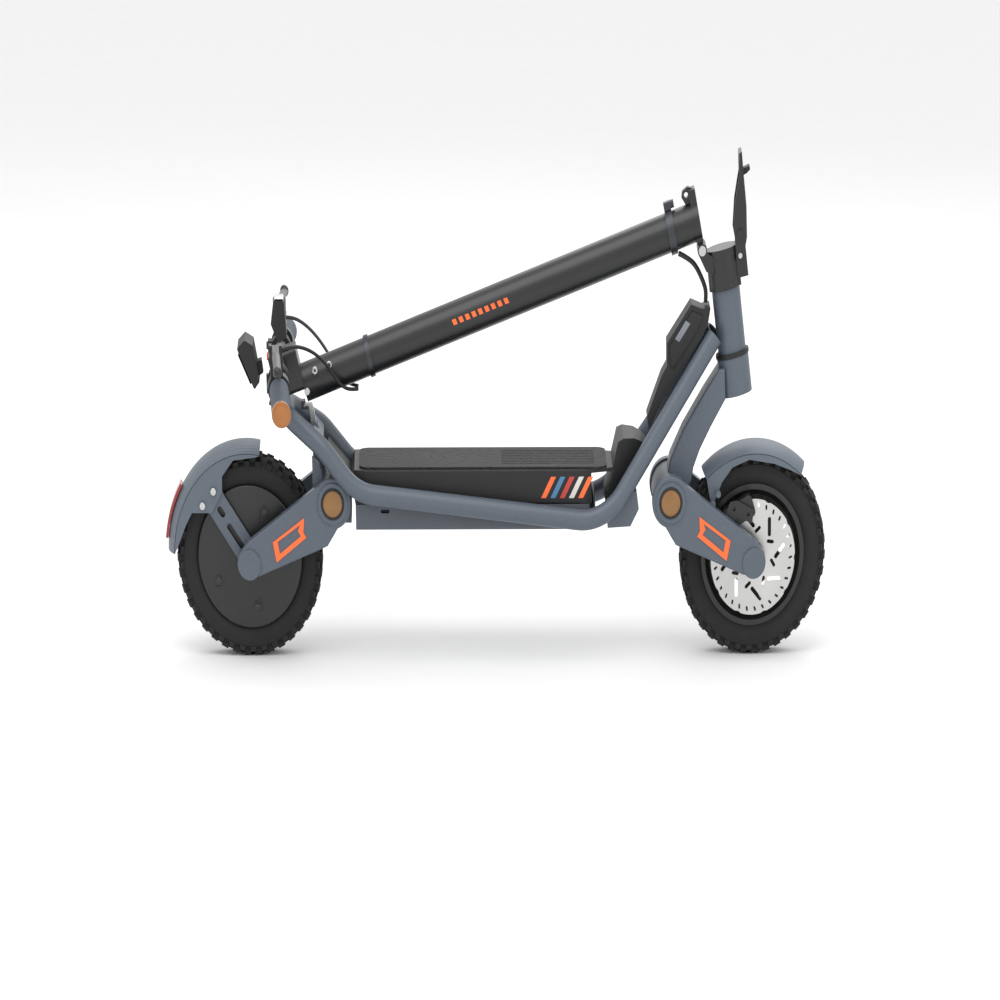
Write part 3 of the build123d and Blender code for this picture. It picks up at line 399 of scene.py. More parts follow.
# polymethyl methacrylate, moulded with prisms in its back: sparkles under a gloss face; the glow
# set on these lenses is painted light
AMBER_LENS = PrismLens(
    "amber acrylic reflector", "#96682E", "#6A4519", 0.2, 2.4, 0.35, coat=0.5, painted_glow=0.02
)
END_LENS = PrismLens("deep amber acrylic", "#B5701E", "#834A14", 0.2, 2.4, 0.3, coat=0.6, painted_glow=0.05)
RED_LENS = PrismLens("red acrylic lens", "#A81E1E", "#6E0F12", 0.18, 3.0, 0.35, coat=0.6, painted_glow=0.04)
CLEAR_LENS = PrismLens("frosted clear acrylic", "#DADFE2", "#B8BEC2", 0.12, 3.0, 0.3, coat=0.7)
# display window: smoked acrylic over a dark panel, mirror smooth
SCREEN_GLASS = Finish("smoked acrylic window", "#0C0D10", "#08090B", 0.06, 4.0, 0.0, coat=0.8)
# printed polyester film and lacquered trim: flat, even colour
ORANGE_TRIM = Finish("orange lacquered trim", "#FF7436", "#F0652A", 0.45, 1.0, 0.02)
BLUE_FILM = Finish("blue printed film", "#4E7FA8", "#46759C", 0.5, 1.0, 0.01)
RED_FILM = Finish("red printed film", "#C2413A", "#B53A34", 0.5, 1.0, 0.01)
PALE_FILM = Finish("pale printed film", "#D9D6CF", "#CFCCC4", 0.5, 1.0, 0.01)
LABEL_FILM = Finish("grey printed film", "#7C8188", "#71767D", 0.5, 1.0, 0.01)
# copper wire, drawn and enamelled: warm and glossy
COPPER = Finish("enamelled copper", "#B9693A", "#8F4B26", 0.35, 0.8, 0.05, metallic=1.0)
# polyvinyl film, shrunk with heat: tight and slightly glossy
CELL_WRAP = Finish("blue heat-shrink wrap", "#27466E", "#1E385A", 0.4, 1.0, 0.02)
# polyvinyl chloride, extruded over cables and hoses: a soft gloss
CABLE_SHEATH = Finish("extruded pvc sheath", "#1E1E1F", "#161617", 0.42, 1.0, 0.02)
# studio floor, rolled with matt emulsion: no highlights
FLOOR_PAINT = Finish("matt white studio floor", "#F1F1F1", "#EEEEEE", 0.85, 3.0, 0.0)


# ---------------------------------------------------------------- modelling


def clear_selection() -> None:
    """Leaves edit mode and deselects everything."""
    if bpy.context.mode != "OBJECT":
        bpy.ops.object.mode_set(mode="OBJECT")
    bpy.ops.object.select_all(action="DESELECT")


def make_only(piece: bpy.types.Object) -> None:
    """Selects one object alone and makes it active."""
    clear_selection()
    piece.select_set(True)
    bpy.context.view_layer.objects.active = piece


def tidy_mesh(piece: bpy.types.Object) -> None:
    """Merges doubled points and points all faces outwards."""
    make_only(piece)
    bpy.ops.object.mode_set(mode="EDIT")
    bpy.ops.mesh.select_mode(type="VERT")
    bpy.ops.mesh.select_all(action="SELECT")
    bpy.ops.mesh.remove_doubles(threshold=MERGE_M)
    bpy.ops.mesh.normals_make_consistent(inside=False)
    bpy.ops.object.mode_set(mode="OBJECT")


def settle(
    piece: bpy.types.Object, name: str, finish: Finish, crease_deg: float = 35.0
) -> bpy.types.Object:
    """Applies a piece's place to its mesh, smooths it and gives it its finish.

    Args:
        piece: the modelled piece.
        name: its name from now on.
        finish: its surface.
        crease_deg: edges sharper than this stay sharp.

    Returns:
        The same piece.
    """
    make_only(piece)
    bpy.ops.object.transform_apply(location=True, rotation=True, scale=True)
    bpy.ops.object.shade_smooth_by_angle(angle=math.radians(crease_deg))
    piece.name = name
    piece.data.name = name
    piece.data.materials.clear()
    piece.data.materials.append(finish.material())
    LOG.info("%s: %d faces", name, len(piece.data.polygons))
    return piece


def soften(piece: bpy.types.Object, width_mm: float, segments: int = 2) -> None:
    """Rounds a piece's hard edges with a bevel that is applied.

    Args:
        piece: the piece to round.
        width_mm: width of the bevel.
        segments: steps across the bevel.
    """
    make_only(piece)
    bevel = piece.modifiers.new("edges", "BEVEL")
    bevel.width = width_mm * MM
    bevel.segments = segments
    bevel.limit_method = "ANGLE"
    bpy.ops.object.modifier_apply(modifier=bevel.name)


def turned(
    profile: list[tuple[float, float]], centre: Point, segments: int = 96
) -> bpy.types.Object:
    """Turns a ring-shaped section about a crosswise axis, one ring at a time.

    Args:
        profile: closed run of (radius, sideways offset) in millimetres.
        centre: a point on the axis, in metres.
        segments: steps round the ring.

    Returns:
        The closed piece.
    """
    clear_selection()
    radius, offset = profile[0]
    bpy.ops.mesh.primitive_circle_add(
        vertices=segments,
        radius=radius * MM,
        location=(centre[0], centre[1] + offset * MM, centre[2]),
        rotation=(QUARTER_TURN, 0, 0),
    )
    piece = bpy.context.object
    bpy.ops.object.transform_apply(location=True, rotation=True, scale=True)
    bpy.ops.object.mode_set(mode="EDIT")
    bpy.ops.mesh.select_mode(type="VERT")
    bpy.ops.mesh.select_all(action="SELECT")
    for next_radius, next_offset in profile[1:] + profile[:1]:
        shift = (0, (next_offset - offset) * MM, 0)
        bpy.ops.mesh.extrude_region_move(TRANSFORM_OT_translate={"value": shift})
        grow = next_radius / radius
        bpy.ops.transform.resize(value=(grow, 1, grow), center_override=centre)
        radius, offset = next_radius, next_offset
    bpy.ops.object.mode_set(mode="OBJECT")
    tidy_mesh(piece)
    return piece


def plate(outline: list[tuple[float, float]], near_mm: float, far_mm: float) -> bpy.types.Object:
    """Makes a flat plate across the scooter from its side outline.

    Args:
        outline: corners as (x, z) in millimetres.
        near_mm: y of one face.
        far_mm: y of the other face.

    Returns:
        The closed plate.
    """
    clear_selection()
    bpy.ops.mesh.primitive_circle_add(
        vertices=len(outline),
        radius=MM,
        fill_type="NGON",
        location=(0, near_mm * MM, 0),
        rotation=(QUARTER_TURN, 0, 0),
    )
    piece = bpy.context.object
    bpy.ops.object.transform_apply(location=True, rotation=True, scale=True)
    for index, (x, z) in enumerate(outline):
        make_only(piece)
        bpy.ops.object.mode_set(mode="EDIT")
        bpy.ops.mesh.select_mode(type="VERT")
        bpy.ops.mesh.select_all(action="DESELECT")
        bpy.ops.object.mode_set(mode="OBJECT")
        corner = piece.data.vertices[index]
        corner.select = True
        shift = (x * MM - corner.co.x, 0, z * MM - corner.co.z)
        bpy.ops.object.mode_set(mode="EDIT")
        bpy.ops.transform.translate(value=shift)
    bpy.ops.mesh.select_all(action="SELECT")
    bpy.ops.mesh.extrude_region_move(
        TRANSFORM_OT_translate={"value": (0, (far_mm - near_mm) * MM, 0)}
    )
    bpy.ops.object.mode_set(mode="OBJECT")
    tidy_mesh(piece)
    return piece


def block(centre_mm: Point, size_mm: Point, taper: float = 1.0) -> bpy.types.Object:
    """Makes a box whose upper face is narrower.

    Args:
        centre_mm: middle of the box.
        size_mm: its length, width and height.
        taper: size of the upper face as a share of the lower.

    Returns:
        The box.
    """
    clear_selection()
    bpy.ops.mesh.primitive_cube_add(size=1, location=[value * MM for value in centre_mm])
    piece = bpy.context.object
    piece.scale = [value * MM for value in size_mm]
    bpy.ops.object.transform_apply(location=True, rotation=True, scale=True)
    top = max(face.center.z for face in piece.data.polygons)
    bpy.ops.object.mode_set(mode="EDIT")
    bpy.ops.mesh.select_mode(type="FACE")
    bpy.ops.mesh.select_all(action="DESELECT")
    bpy.ops.object.mode_set(mode="OBJECT")
    for face in piece.data.polygons:
        face.select = face.center.z > top - LEVEL_M
    bpy.ops.object.mode_set(mode="EDIT")
    middle = (centre_mm[0] * MM, centre_mm[1] * MM, top)
    bpy.ops.transform.resize(value=(taper, taper, 1), center_override=middle)
    bpy.ops.object.mode_set(mode="OBJECT")
    return piece


def copied(master: bpy.types.Object, placing: Matrix) -> bpy.types.Object:
    """Copies a piece with its own mesh.

    Args:
        master: the piece to copy.
        placing: the move that is applied to the copy's mesh.

    Returns:
        The copy.
    """
    twin = master.copy()
    twin.data = master.data.copy()
    twin.data.transform(placing)
    bpy.context.scene.collection.objects.link(twin)
    return twin


def joined(pieces: list[bpy.types.Object]) -> bpy.types.Object:
    """Joins pieces into the first of them."""
    make_only(pieces[0])
    for piece in pieces:
        piece.select_set(True)
    bpy.ops.object.join()
    return pieces[0]


def socket_bolt(radius_mm: float, height_mm: float) -> bpy.types.Object:
    """Makes a button-head bolt with a hexagon socket, its head rising from the origin.

    Args:
        radius_mm: radius of the head.
        height_mm: height of the head along +Z.

    Returns:
        The bolt's head.
    """
    clear_selection()
    bpy.ops.mesh.primitive_cylinder_add(
        vertices=32,
        radius=radius_mm * MM,
        depth=height_mm * MM,
        location=(0, 0, height_mm * MM / 2),
    )
    head = bpy.context.object
    bpy.ops.object.transform_apply(location=True, rotation=True, scale=True)
    soften(head, 0.3 * height_mm, 3)
    clear_selection()
    bpy.ops.mesh.primitive_cylinder_add(
        vertices=6,
        radius=0.5 * radius_mm * MM,
        depth=height_mm * MM,
        location=(0, 0, height_mm * MM),
    )
    cutter = bpy.context.object
    make_only(head)
    cut = head.modifiers.new("socket", "BOOLEAN")
    cut.object = cutter
    cut.operation = "DIFFERENCE"
    bpy.ops.object.modifier_apply(modifier=cut.name)
    bpy.data.objects.remove(cutter)
    return head


def facing(side: Side, x_mm: float, y_mm: float, z_mm: float) -> Matrix:
    """Places a bolt on one side of the scooter, its head facing outwards.

    Args:
        side: the side of the scooter.
        x_mm: place along the scooter.
        y_mm: distance from the middle.
        z_mm: height.

    Returns:
        The move from the origin to that place.
    """
    turn = Matrix.Rotation(-QUARTER_TURN * side.value, 4, "X")
    return Matrix.Translation((x_mm * MM, y_mm * side.value * MM, z_mm * MM)) @ turn


def cable(name: str, points_mm: list[Point], radius_mm: float, finish: Finish) -> bpy.types.Object:
    """Makes a cable as a smooth curve through the given points, then a mesh.

    Args:
        name: the piece's name.
        points_mm: control points from end to end.
        radius_mm: radius of the sheath.
        finish: its surface.

    Returns:
        The closed cable.
    """
    clear_selection()
    curve = bpy.data.curves.new(name, "CURVE")
    curve.dimensions = "3D"
    curve.bevel_depth = radius_mm * MM
    curve.bevel_resolution = 4
    curve.use_fill_caps = True
    curve.resolution_u = 8
    spline = curve.splines.new("NURBS")
    spline.points.add(len(points_mm) - 1)
    for point, (x, y, z) in zip(spline.points, points_mm):
        point.co = (x * MM, y * MM, z * MM, 1.0)
    spline.order_u = 3
    spline.use_endpoint_u = True
    piece = bpy.data.objects.new(name, curve)
    bpy.context.scene.collection.objects.link(piece)
    make_only(piece)
    bpy.ops.object.convert(target="MESH")
    return settle(bpy.context.object, name, finish)


# ---------------------------------------------------------------- sub-assemblies


@dataclass(frozen=True)
class TreadRow:
    """One row of tread blocks: its place across the tyre and the size of a block."""

    offset_mm: float
    phase: float
    width_mm: float
    length_mm: float
    radius_mm: float
    height_mm: float


TREAD = (
    TreadRow(-8.2, 0.0, 13.5, 15.5, 131.0, 6.6),
    TreadRow(8.2, 0.5, 13.5, 15.5, 131.0, 6.6),
    TreadRow(-21.5, 0.5, 10.5, 14.5, 130.2, 8.0),
    TreadRow(21.5, 0.0, 10.5, 14.5, 130.2, 8.0),
    TreadRow(-28.0, 0.0, 5.0, 11.5, 124.5, 9.5),
    TreadRow(28.0, 0.5, 5.0, 11.5, 124.5, 9.5),
)


@dataclass
class Wheel:
    """A tyre of separate tread blocks on one wheel."""

    name: str
    body: Body
    axle_x_mm: float
    replaced: str
    axle_z_mm: float = 135.0
    blocks_round: int = 38
    block_taper: float = 0.86
    block_edge_mm: float = 0.5
    crease_deg: float = 30.0
    lean_deg_per_mm: float = -0.9
    carcass: list[tuple[float, float]] = field(
        default_factory=lambda: [
            (95, -23.5), (98, -27), (105, -30), (113, -31), (121, -30), (126.5, -25), (128.5, -12),
            (129, 0), (128.5, 12), (126.5, 25), (121, 30), (113, 31), (105, 30), (98, 27),
            (95, 23.5), (93.4, 23), (93.4, -23),
        ]
    )

    def build(self) -> None:
        """Makes the carcass and its blocks and rides them on the wheel."""
        centre = (self.axle_x_mm * MM, 0.0, self.axle_z_mm * MM)
        carcass = turned(self.carcass, centre)
        blocks = [carcass]
        step = 2 * math.pi / self.blocks_round
        for row in TREAD:
            size = (row.length_mm, row.width_mm, row.height_mm)
            master = block((0, 0, 0), size, self.block_taper)
            soften(master, self.block_edge_mm, 1)
            lean = Matrix.Rotation(math.radians(self.lean_deg_per_mm * row.offset_mm), 4, "X")
            for index in range(self.blocks_round):
                turn = Matrix.Rotation((index + row.phase) * step, 4, "Y")
                reach = Matrix.Translation((0, row.offset_mm * MM, row.radius_mm * MM))
                blocks.append(copied(master, Matrix.Translation(centre) @ turn @ reach @ lean))
            bpy.data.objects.remove(master)
        tyre = settle(joined(blocks), self.name, TYRE_RUBBER, self.crease_deg)
        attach(tyre, self.body.value)
        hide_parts(self.replaced)


@dataclass
class HubCover:
    """Raised crescents and bolts on the rear hub's covers."""

    axle_x_mm: float = -456.5
    axle_z_mm: float = 135.0
    face_y_mm: float = 31.0
    bosses: int = 5
    first_boss_deg: float = 63.0
    boss_circle_mm: float = 67.0
    boss_height_mm: float = 1.4
    bolt_radius_mm: float = 4.6
    bolt_height_mm: float = 2.6

    def swirl(self) -> bpy.types.Object:
        """Makes one small raised crescent beside its boss on the right face.

        Returns:
            The crescent, closed.
        """
        outline = [(54, 3), (58, 9), (66, 12), (74, 9), (77, 3), (73, 6.5), (66, 8.5), (60, 6.5)]
        rib = plate(outline, -self.face_y_mm + 0.5, -self.face_y_mm - 1.2)
        soften(rib, 0.4)
        return rib

    def build(self) -> None:
        """Copies the crescent and a bolt round both covers."""
        rib = self.swirl()
        bolt = socket_bolt(self.bolt_radius_mm, self.bolt_height_mm)
        ribs, bolts = [], []
        centre = Matrix.Translation((self.axle_x_mm * MM, 0, self.axle_z_mm * MM))
        for side in Side:
            flip = Matrix.Identity(4) if side is Side.RIGHT else Matrix.Rotation(math.pi, 4, "Z")
            for index in range(self.bosses):
                angle = math.radians(self.first_boss_deg + index * 360 / self.bosses)
                turn = Matrix.Rotation(-angle, 4, "Y")
                ribs.append(copied(rib, centre @ flip @ turn))
                spot = self.boss_circle_mm * Vector((math.cos(angle), 0, math.sin(angle)))
                across = -spot.x if side is Side.LEFT else spot.x
                proud = self.face_y_mm + self.boss_height_mm
                place = facing(side, self.axle_x_mm + across, proud, self.axle_z_mm + spot.z)
                bolts.append(copied(bolt, place))
        for master in (rib, bolt):
            bpy.data.objects.remove(master)
        ribs_piece = settle(joined(ribs), "hub_cover_ribs", STEM_COAT)
        bolts_piece = settle(joined(bolts), "hub_cover_bolts", DARK_STEEL)
        for piece, slot in ((ribs_piece, "stem_coat"), (bolts_piece, "dark_steel")):
            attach(piece, Body.REAR_WHEEL.value)


@dataclass
class ArmTrim:
    """Reflectors, their rings and the orange badges on one pair of swing arms."""

    end: str
    body: Body
    pivot_x_mm: float
    mirrored: bool
    pivot_z_mm: float = 215.5
    middle_x_mm: float = 10.0
    face_y_mm: float = 82.0

    def outline(self, corners: list[tuple[float, float]]) -> list[tuple[float, float]]:
        """Turns the front arms' corners into this pair's.

        Args:
            corners: side outline on the front arm, in millimetres.

        Returns:
            The corners as they are, or mirrored for the rear arms.
        """
        if not self.mirrored:
            return corners
        return [(2 * self.middle_x_mm - x, z) for x, z in corners]

    def badge(self) -> bpy.types.Object:
        """Makes the notched, slanted ring of one badge from five bars.

        Returns:
            The right side's badge.
        """
        outer = [(373, 197), (432, 165), (426, 138), (370, 171), (375, 178)]
        inner = [(381, 188), (423, 165.5), (419.5, 149.5), (380, 173), (385, 180)]
        bars = []
        count = len(outer)
        for index in range(count):
            after = (index + 1) % count
            corners = [outer[index], outer[after], inner[after], inner[index]]
            bars.append(plate(self.outline(corners), -self.face_y_mm + 0.2, -self.face_y_mm - 1.3))
        badge = joined(bars)
        tidy_mesh(badge)
        return badge

    def build(self) -> None:
        """Makes both sides' trim and rides it on the arms."""
        centre = (self.pivot_x_mm * MM, 0.0, self.pivot_z_mm * MM)
        lens = turned(
            [(0.05, -86.4), (16, -86.2), (17.6, -85.4), (17.6, -83.2), (0.05, -83.2)], centre, 64
        )
        ring = turned(
            [(17.7, -83.1), (17.7, -86.5), (19.5, -87.0), (21, -86.4), (21, -83.1)], centre, 64
        )
        badge = self.badge()
        flip = Matrix.Diagonal((1, -1, 1, 1))
        for piece, name, finish, slot in (
            (lens, "reflectors", AMBER_LENS, "amber_lens"),
            (ring, "reflector_rings", COVER_PLASTIC, "black_plastic"),
            (badge, "badges", ORANGE_TRIM, "orange_trim"),
        ):
            both = joined([piece, copied(piece, flip)])
            tidy_mesh(both)
            settled = settle(both, f"{self.end}_{name}", finish)
            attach(settled, self.body.value)
        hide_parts(f"{self.end}_arm_trim")


@dataclass
class Deck:
    """Coloured bars on the deck's sides, generic and parallel."""

    side_y_mm: float = 80.0
    first_x_mm: float = 82.0
    bar_pitch_mm: float = 17.0
    bar_width_mm: float = 9.0
    low_z_mm: float = 222.0
    high_z_mm: float = 250.0
    slant_mm: float = 18.0
    sunk_mm: float = 0.3

    def build(self) -> None:
        """Makes five slanted bars on each side."""
        films = (ORANGE_TRIM, BLUE_FILM, RED_FILM, PALE_FILM, ORANGE_TRIM)
        for index, film in enumerate(films):
            left = self.first_x_mm + index * self.bar_pitch_mm
            outline = [
                (left, self.low_z_mm),
                (left + self.bar_width_mm, self.low_z_mm),
                (left + self.bar_width_mm + self.slant_mm, self.high_z_mm),
                (left + self.slant_mm, self.high_z_mm),
            ]
            bars = []
            for side in Side:
                near = side.value * (self.side_y_mm - self.sunk_mm)
                far = side.value * (self.side_y_mm + FILM_PROUD_MM)
                bars.append(plate(outline, near, far))
            bar = settle(joined(bars), f"deck_side_bar_{index + 1}", film)
            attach(bar, Body.FRAME.value)


@dataclass
class StemFace:
    """Display window, headlight lens, dashes and bolts on the stem and handlebar."""

    base_mm: Point = (362.069, 0.0, 561.468)
    slope_deg: float = 15.9
    radius_mm: float = 25.0
    dashes: int = 9
    first_dash_mm: float = 352.0
    dash_pitch_mm: float = 12.0
    dash_width_mm: float = 7.0
    dash_slant_mm: float = 2.0
    dash_low_mm: float = -1.5
    dash_high_mm: float = 6.0
    dash_sunk_mm: float = 1.2

    def along(self, distance_mm: float, up_mm: float = 0.0) -> tuple[float, float]:
        """Finds a point of the side view by its place on the stem.

        Args:
            distance_mm: distance down the stem from its joint.
            up_mm: distance above the stem's axis.

        Returns:
            The point as x and z in millimetres.
        """
        slope = math.radians(self.slope_deg)
        x = self.base_mm[0] - distance_mm * math.cos(slope) - up_mm * math.sin(slope)
        z = self.base_mm[2] - distance_mm * math.sin(slope) + up_mm * math.cos(slope)
        return (x, z)

    def stripe(self) -> bpy.types.Object:
        """Makes a run of plain slanted dashes along both sides of the stem.

        Returns:
            All dashes as one piece.
        """
        dashes = []
        for index in range(self.dashes):
            start = self.first_dash_mm + index * self.dash_pitch_mm
            end = start + self.dash_width_mm
            corners = [
                self.along(start, self.dash_low_mm),
                self.along(end, self.dash_low_mm),
                self.along(end + self.dash_slant_mm, self.dash_high_mm),
                self.along(start + self.dash_slant_mm, self.dash_high_mm),
            ]
            for side in Side:
                near = side.value * (self.radius_mm - self.dash_sunk_mm)
                far = side.value * (self.radius_mm + FILM_PROUD_MM)
                dashes.append(plate(corners, near, far))
        return joined(dashes)

    def build(self) -> None:
        """Makes the small parts that ride on the stem."""
        window_side = [(-462.0, 401.2), (-441.2, 363.8), (-444.4, 362.0), (-465.2, 399.4)]
        window = plate(window_side, -29, 29)
        soften(window, 0.6)
        lens = plate([(-397, 465.5), (-396.5, 468.6), (-380.5, 468.6), (-380, 465.5)], -20, 20)
        soften(lens, 0.8)
        bolt = socket_bolt(5.0, 3.4)
        bolts = []
        for x, z in ((-327, 379), (-301, 386), (-342, 352)):
            for side in Side:
                bolts.append(copied(bolt, facing(side, x, self.radius_mm - 0.6, z)))
        bpy.data.objects.remove(bolt)
        for piece, name, finish, slot in (
            (window, "display_window", SCREEN_GLASS, "black_plastic"),
            (lens, "headlight_lens", CLEAR_LENS, "grey_plastic"),
            (self.stripe(), "stem_dashes", ORANGE_TRIM, "orange_trim"),
            (joined(bolts), "stem_bolts", GROUND_STEEL, "bright_steel"),
        ):
            settled = settle(piece, name, finish)
            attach(settled, Body.STEM.value)


@dataclass
class NeckCover:
    """Raised panel and plain label on the neck cover."""

    half_width_mm: float = 26.0

    def build(self) -> None:
        """Makes the panel and the label on both sides."""
        outline = [(371, 447), (352, 453), (313, 409), (315, 384), (321, 379), (364, 430)]
        label = [(349, 437), (341, 441), (322, 418), (330, 414)]
        for corners, proud, name, finish, slot in (
            (outline, 3.0, "neck_cover_panels", COVER_PLASTIC, "black_plastic"),
            (label, 3.4, "neck_cover_labels", LABEL_FILM, "grey_plastic"),
        ):
            pair = []
            for side in Side:
                near = side.value * (self.half_width_mm - 1)
                raised = plate(corners, near, side.value * (self.half_width_mm + proud))
                soften(raised, 0.2 if finish is LABEL_FILM else 1.5)
                pair.append(raised)
            piece = settle(joined(pair), name, finish)
            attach(piece, Body.FRAME.value)


@dataclass
class FenderBolts:
    """Bright bolts that hold the rear fender to its stays."""

    face_y_mm: float = 47.0
    spots_mm: tuple[tuple[float, float], ...] = ((-519, 226), (-540, 207))

    def build(self) -> None:
        """Copies one bolt to every spot on both sides."""
        bolt = socket_bolt(5.2, 3.4)
        bolts = [
            copied(bolt, facing(side, x, self.face_y_mm, z))
            for side in Side
            for x, z in self.spots_mm
        ]
        bpy.data.objects.remove(bolt)
        piece = settle(joined(bolts), "fender_bolts", GROUND_STEEL)
        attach(piece, Body.REAR_ARM.value)


@dataclass
class HeadSeal:
    """Black rubber seal between the head tube and the fork's neck."""

    head_mm: Point = (419.5, 0.0, 437.5)
    lean_deg: float = 11.0
    drop_mm: float = 42.5

    def build(self) -> None:
        """Turns the ring about Y, then tips it onto the leaning steering axis."""
        ring = turned([(25.4, -3), (29.6, -3), (30.2, 0), (29.6, 3), (25.4, 3)], (0, 0, 0), 64)
        lean = math.radians(self.lean_deg)
        axis = Vector((-math.sin(lean), 0, math.cos(lean)))
        place = Vector(self.head_mm) * MM - axis * self.drop_mm * MM
        tip = Vector((0, 1, 0)).rotation_difference(axis).to_matrix().to_4x4()
        ring.data.transform(Matrix.Translation(place) @ tip)
        seal = settle(ring, "head_seal", COVER_PLASTIC)
        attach(seal, Body.FORK.value)


@dataclass
class Cables:
    """Brake hoses along the handlebar and the main cable at the fold."""

    hose_mm: tuple[Point, ...] = (
        (-394, -135, 421), (-372, -120, 424), (-350, -98, 421), (-326, -72, 409),
        (-304, -50, 390), (-286, -36, 366), (-268, -24, 353), (-250, -12, 353),
    )
    upper_mm: tuple[Point, ...] = ((326, 0, 520.5), (344, 0, 514.5), (360, 0, 503), (370, 0, 487))
    lower_mm: tuple[Point, ...] = ((370, 0, 487), (375, 0, 479), (377, 0, 469), (376.5, 0, 459.5))
    hose_radius_mm: float = 2.5
    main_radius_mm: float = 3.5

    def build(self) -> None:
        """Makes the hoses and the two lengths of main cable, which stay where they are made and
        ride on no body.
        """
        across = [(x, -y, z) for x, y, z in self.hose_mm]
        right = cable("hose_right", list(self.hose_mm), self.hose_radius_mm, CABLE_SHEATH)
        left = cable("hose_left", across, self.hose_radius_mm, CABLE_SHEATH)
        hoses = settle(joined([right, left]), "brake_hoses", CABLE_SHEATH)
        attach(hoses, Body.STEM.value)
        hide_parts("brake_cables")
        for points, name, node, pair in (
            (self.upper_mm, "main_cable_at_stem", "main_cable_upper", (Body.STEM, Body.FORK)),
            (self.lower_mm, "main_cable_at_neck", "main_cable_lower", (Body.FORK, Body.FRAME)),
        ):
            piece = cable(name, list(points), self.main_radius_mm, CABLE_SHEATH)
            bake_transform(piece)
            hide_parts(node)


@dataclass
class Dress:
    """Finishes of the frame's own nodes."""

    finishes: dict[str, Finish] = field(
        default_factory=lambda: {
            "frame_coat": FRAME_COAT,
            "stem_coat": STEM_COAT,
            "black_plastic": COVER_PLASTIC,
            "grey_plastic": TRAY_PLASTIC,
            "mat_rubber": MAT_RUBBER,
            "tyre_rubber": TYRE_RUBBER,
            "grip_rubber": GRIP_RUBBER,
            "alloy": CAST_ALLOY,
            "bright_steel": GROUND_STEEL,
            "dark_steel": DARK_STEEL,
            "amber_lens": END_LENS,
            "red_lens": RED_LENS,
            "orange_trim": ORANGE_TRIM,
            "cell_wrap": CELL_WRAP,
            "copper": COPPER,
        }
    )
    special: dict[str, Finish] = field(
        default_factory=lambda: {"front_fender": FENDER_SHELL, "rear_fender": RIBBED_FENDER}
    )

    def build(self, frame: dict) -> None:
        """Gives every node the finish of its material slot, or its own.

        Args:
            frame: the loaded frame, with its record and its nodes.
        """
        for part in frame["record"]["subparts"]:
            node = frame["nodes"][part["node"]]
            finish = self.special.get(part["node"], self.finishes[part["material_slot"]])
            node.data.materials.clear()
            node.data.materials.append(finish.material())
        LOG.info("dressed %d nodes", len(frame["nodes"]))


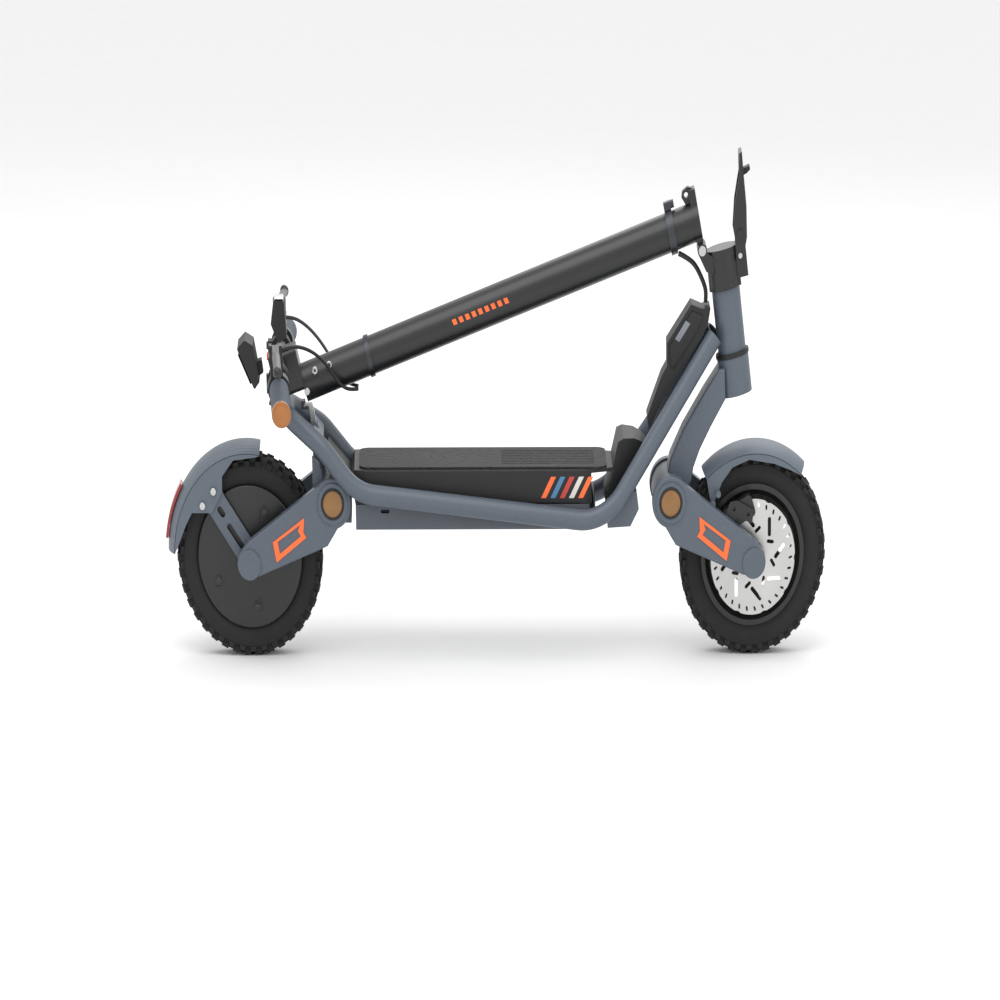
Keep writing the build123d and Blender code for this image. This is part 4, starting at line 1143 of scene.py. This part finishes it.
@dataclass
class Studio:
    """Floor, light and a camera whose film is tilted, so that it squeezes widths evenly."""

    focal_px: float = 5503.87
    frame_px: float = 1000.0
    distance_m: float = 10.0
    camera_x_m: float = -0.1242
    camera_z_m: float = 2.0250
    yaw: float = 0.0132
    pitch: float = 0.1800
    film_tilt: float = 0.7844
    film_width_mm: float = 36.0

    def floor(self) -> None:
        """Lays a large plain floor that fades into the backdrop."""
        clear_selection()
        bpy.ops.mesh.primitive_plane_add(size=80, location=(0, 0, 0))
        ground = settle(bpy.context.object, "studio_floor", FLOOR_PAINT)

    def lamp(self, name: str, place: Point, size: float, power: float) -> None:
        """Hangs one soft square lamp that faces the scooter.

        Args:
            name: the lamp's name.
            place: where it hangs, in metres.
            size: length of its side, in metres.
            power: its power in watts.
        """
        data = bpy.data.lights.new(name, "AREA")
        data.size = size
        data.energy = power
        lamp = bpy.data.objects.new(name, data)
        bpy.context.scene.collection.objects.link(lamp)
        lamp.location = place
        aim = Vector((0, 0, 0.25)) - Vector(place)
        lamp.rotation_euler = aim.to_track_quat("-Z", "Y").to_euler()

    def sky(self) -> None:
        """Sets an even white surround."""
        world = bpy.data.worlds.new("studio")
        world.use_nodes = True
        background = world.node_tree.nodes["Background"]
        background.inputs["Color"].default_value = linear("#FFFFFF")
        background.inputs["Strength"].default_value = 1.0
        bpy.context.scene.world = world
        bpy.context.scene.view_settings.view_transform = "Standard"

    def camera(self) -> None:
        """Mounts the camera on a tilted film plane: an anamorphic view of the right side."""
        forward = Vector(
            (
                math.sin(self.yaw) * math.cos(self.pitch),
                math.cos(self.yaw) * math.cos(self.pitch),
                -math.sin(self.pitch),
            )
        )
        right = Vector((math.cos(self.yaw), -math.sin(self.yaw), 0))
        up = right.cross(forward)
        leaned = up * math.cos(self.film_tilt) + forward * math.sin(self.film_tilt)
        mount = bpy.data.objects.new("film_mount", None)
        bpy.context.scene.collection.objects.link(mount)
        skew = Matrix.Identity(4)
        for column, axis in enumerate((right, leaned, -forward)):
            for row in range(3):
                skew[row][column] = axis[row]
        for row, value in enumerate((self.camera_x_m, -self.distance_m, self.camera_z_m)):
            skew[row][3] = value
        data = bpy.data.cameras.new("camera")
        data.lens = self.film_width_mm * self.focal_px / self.frame_px
        data.sensor_width = self.film_width_mm
        data.clip_end = 200
        camera = bpy.data.objects.new("camera", data)
        bpy.context.scene.collection.objects.link(camera)
        camera.parent = mount
        camera.matrix_parent_inverse = skew
        bpy.context.scene.camera = camera

    def build(self) -> None:
        """Sets up the whole studio."""
        self.floor()
        self.sky()
        self.lamp("key", (-0.6, -1.6, 3.6), 2.8, 60)
        self.lamp("fill", (2.4, -2.6, 1.8), 2.4, 12)
        self.lamp("rim", (0.6, 2.6, 2.6), 2.4, 30)
        self.camera()


def main() -> None:
    """Loads the frame, dresses it and builds every new piece."""
    logging.basicConfig(level=logging.INFO, format="%(name)s: %(message)s")
    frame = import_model()
    Dress().build(frame)
    Wheel("front_tyre_with_blocks", Body.FRONT_WHEEL, 476.5, "front_tyre").build()
    Wheel("rear_tyre_with_blocks", Body.REAR_WHEEL, -456.5, "rear_tyre").build()
    HubCover().build()
    ArmTrim("front", Body.FRONT_ARM, 320.0, False).build()
    ArmTrim("rear", Body.REAR_ARM, -300.0, True).build()
    Deck().build()
    StemFace().build()
    NeckCover().build()
    FenderBolts().build()
    HeadSeal().build()
    Cables().build()
    Studio().build()


if __name__ == "__main__":
    main()
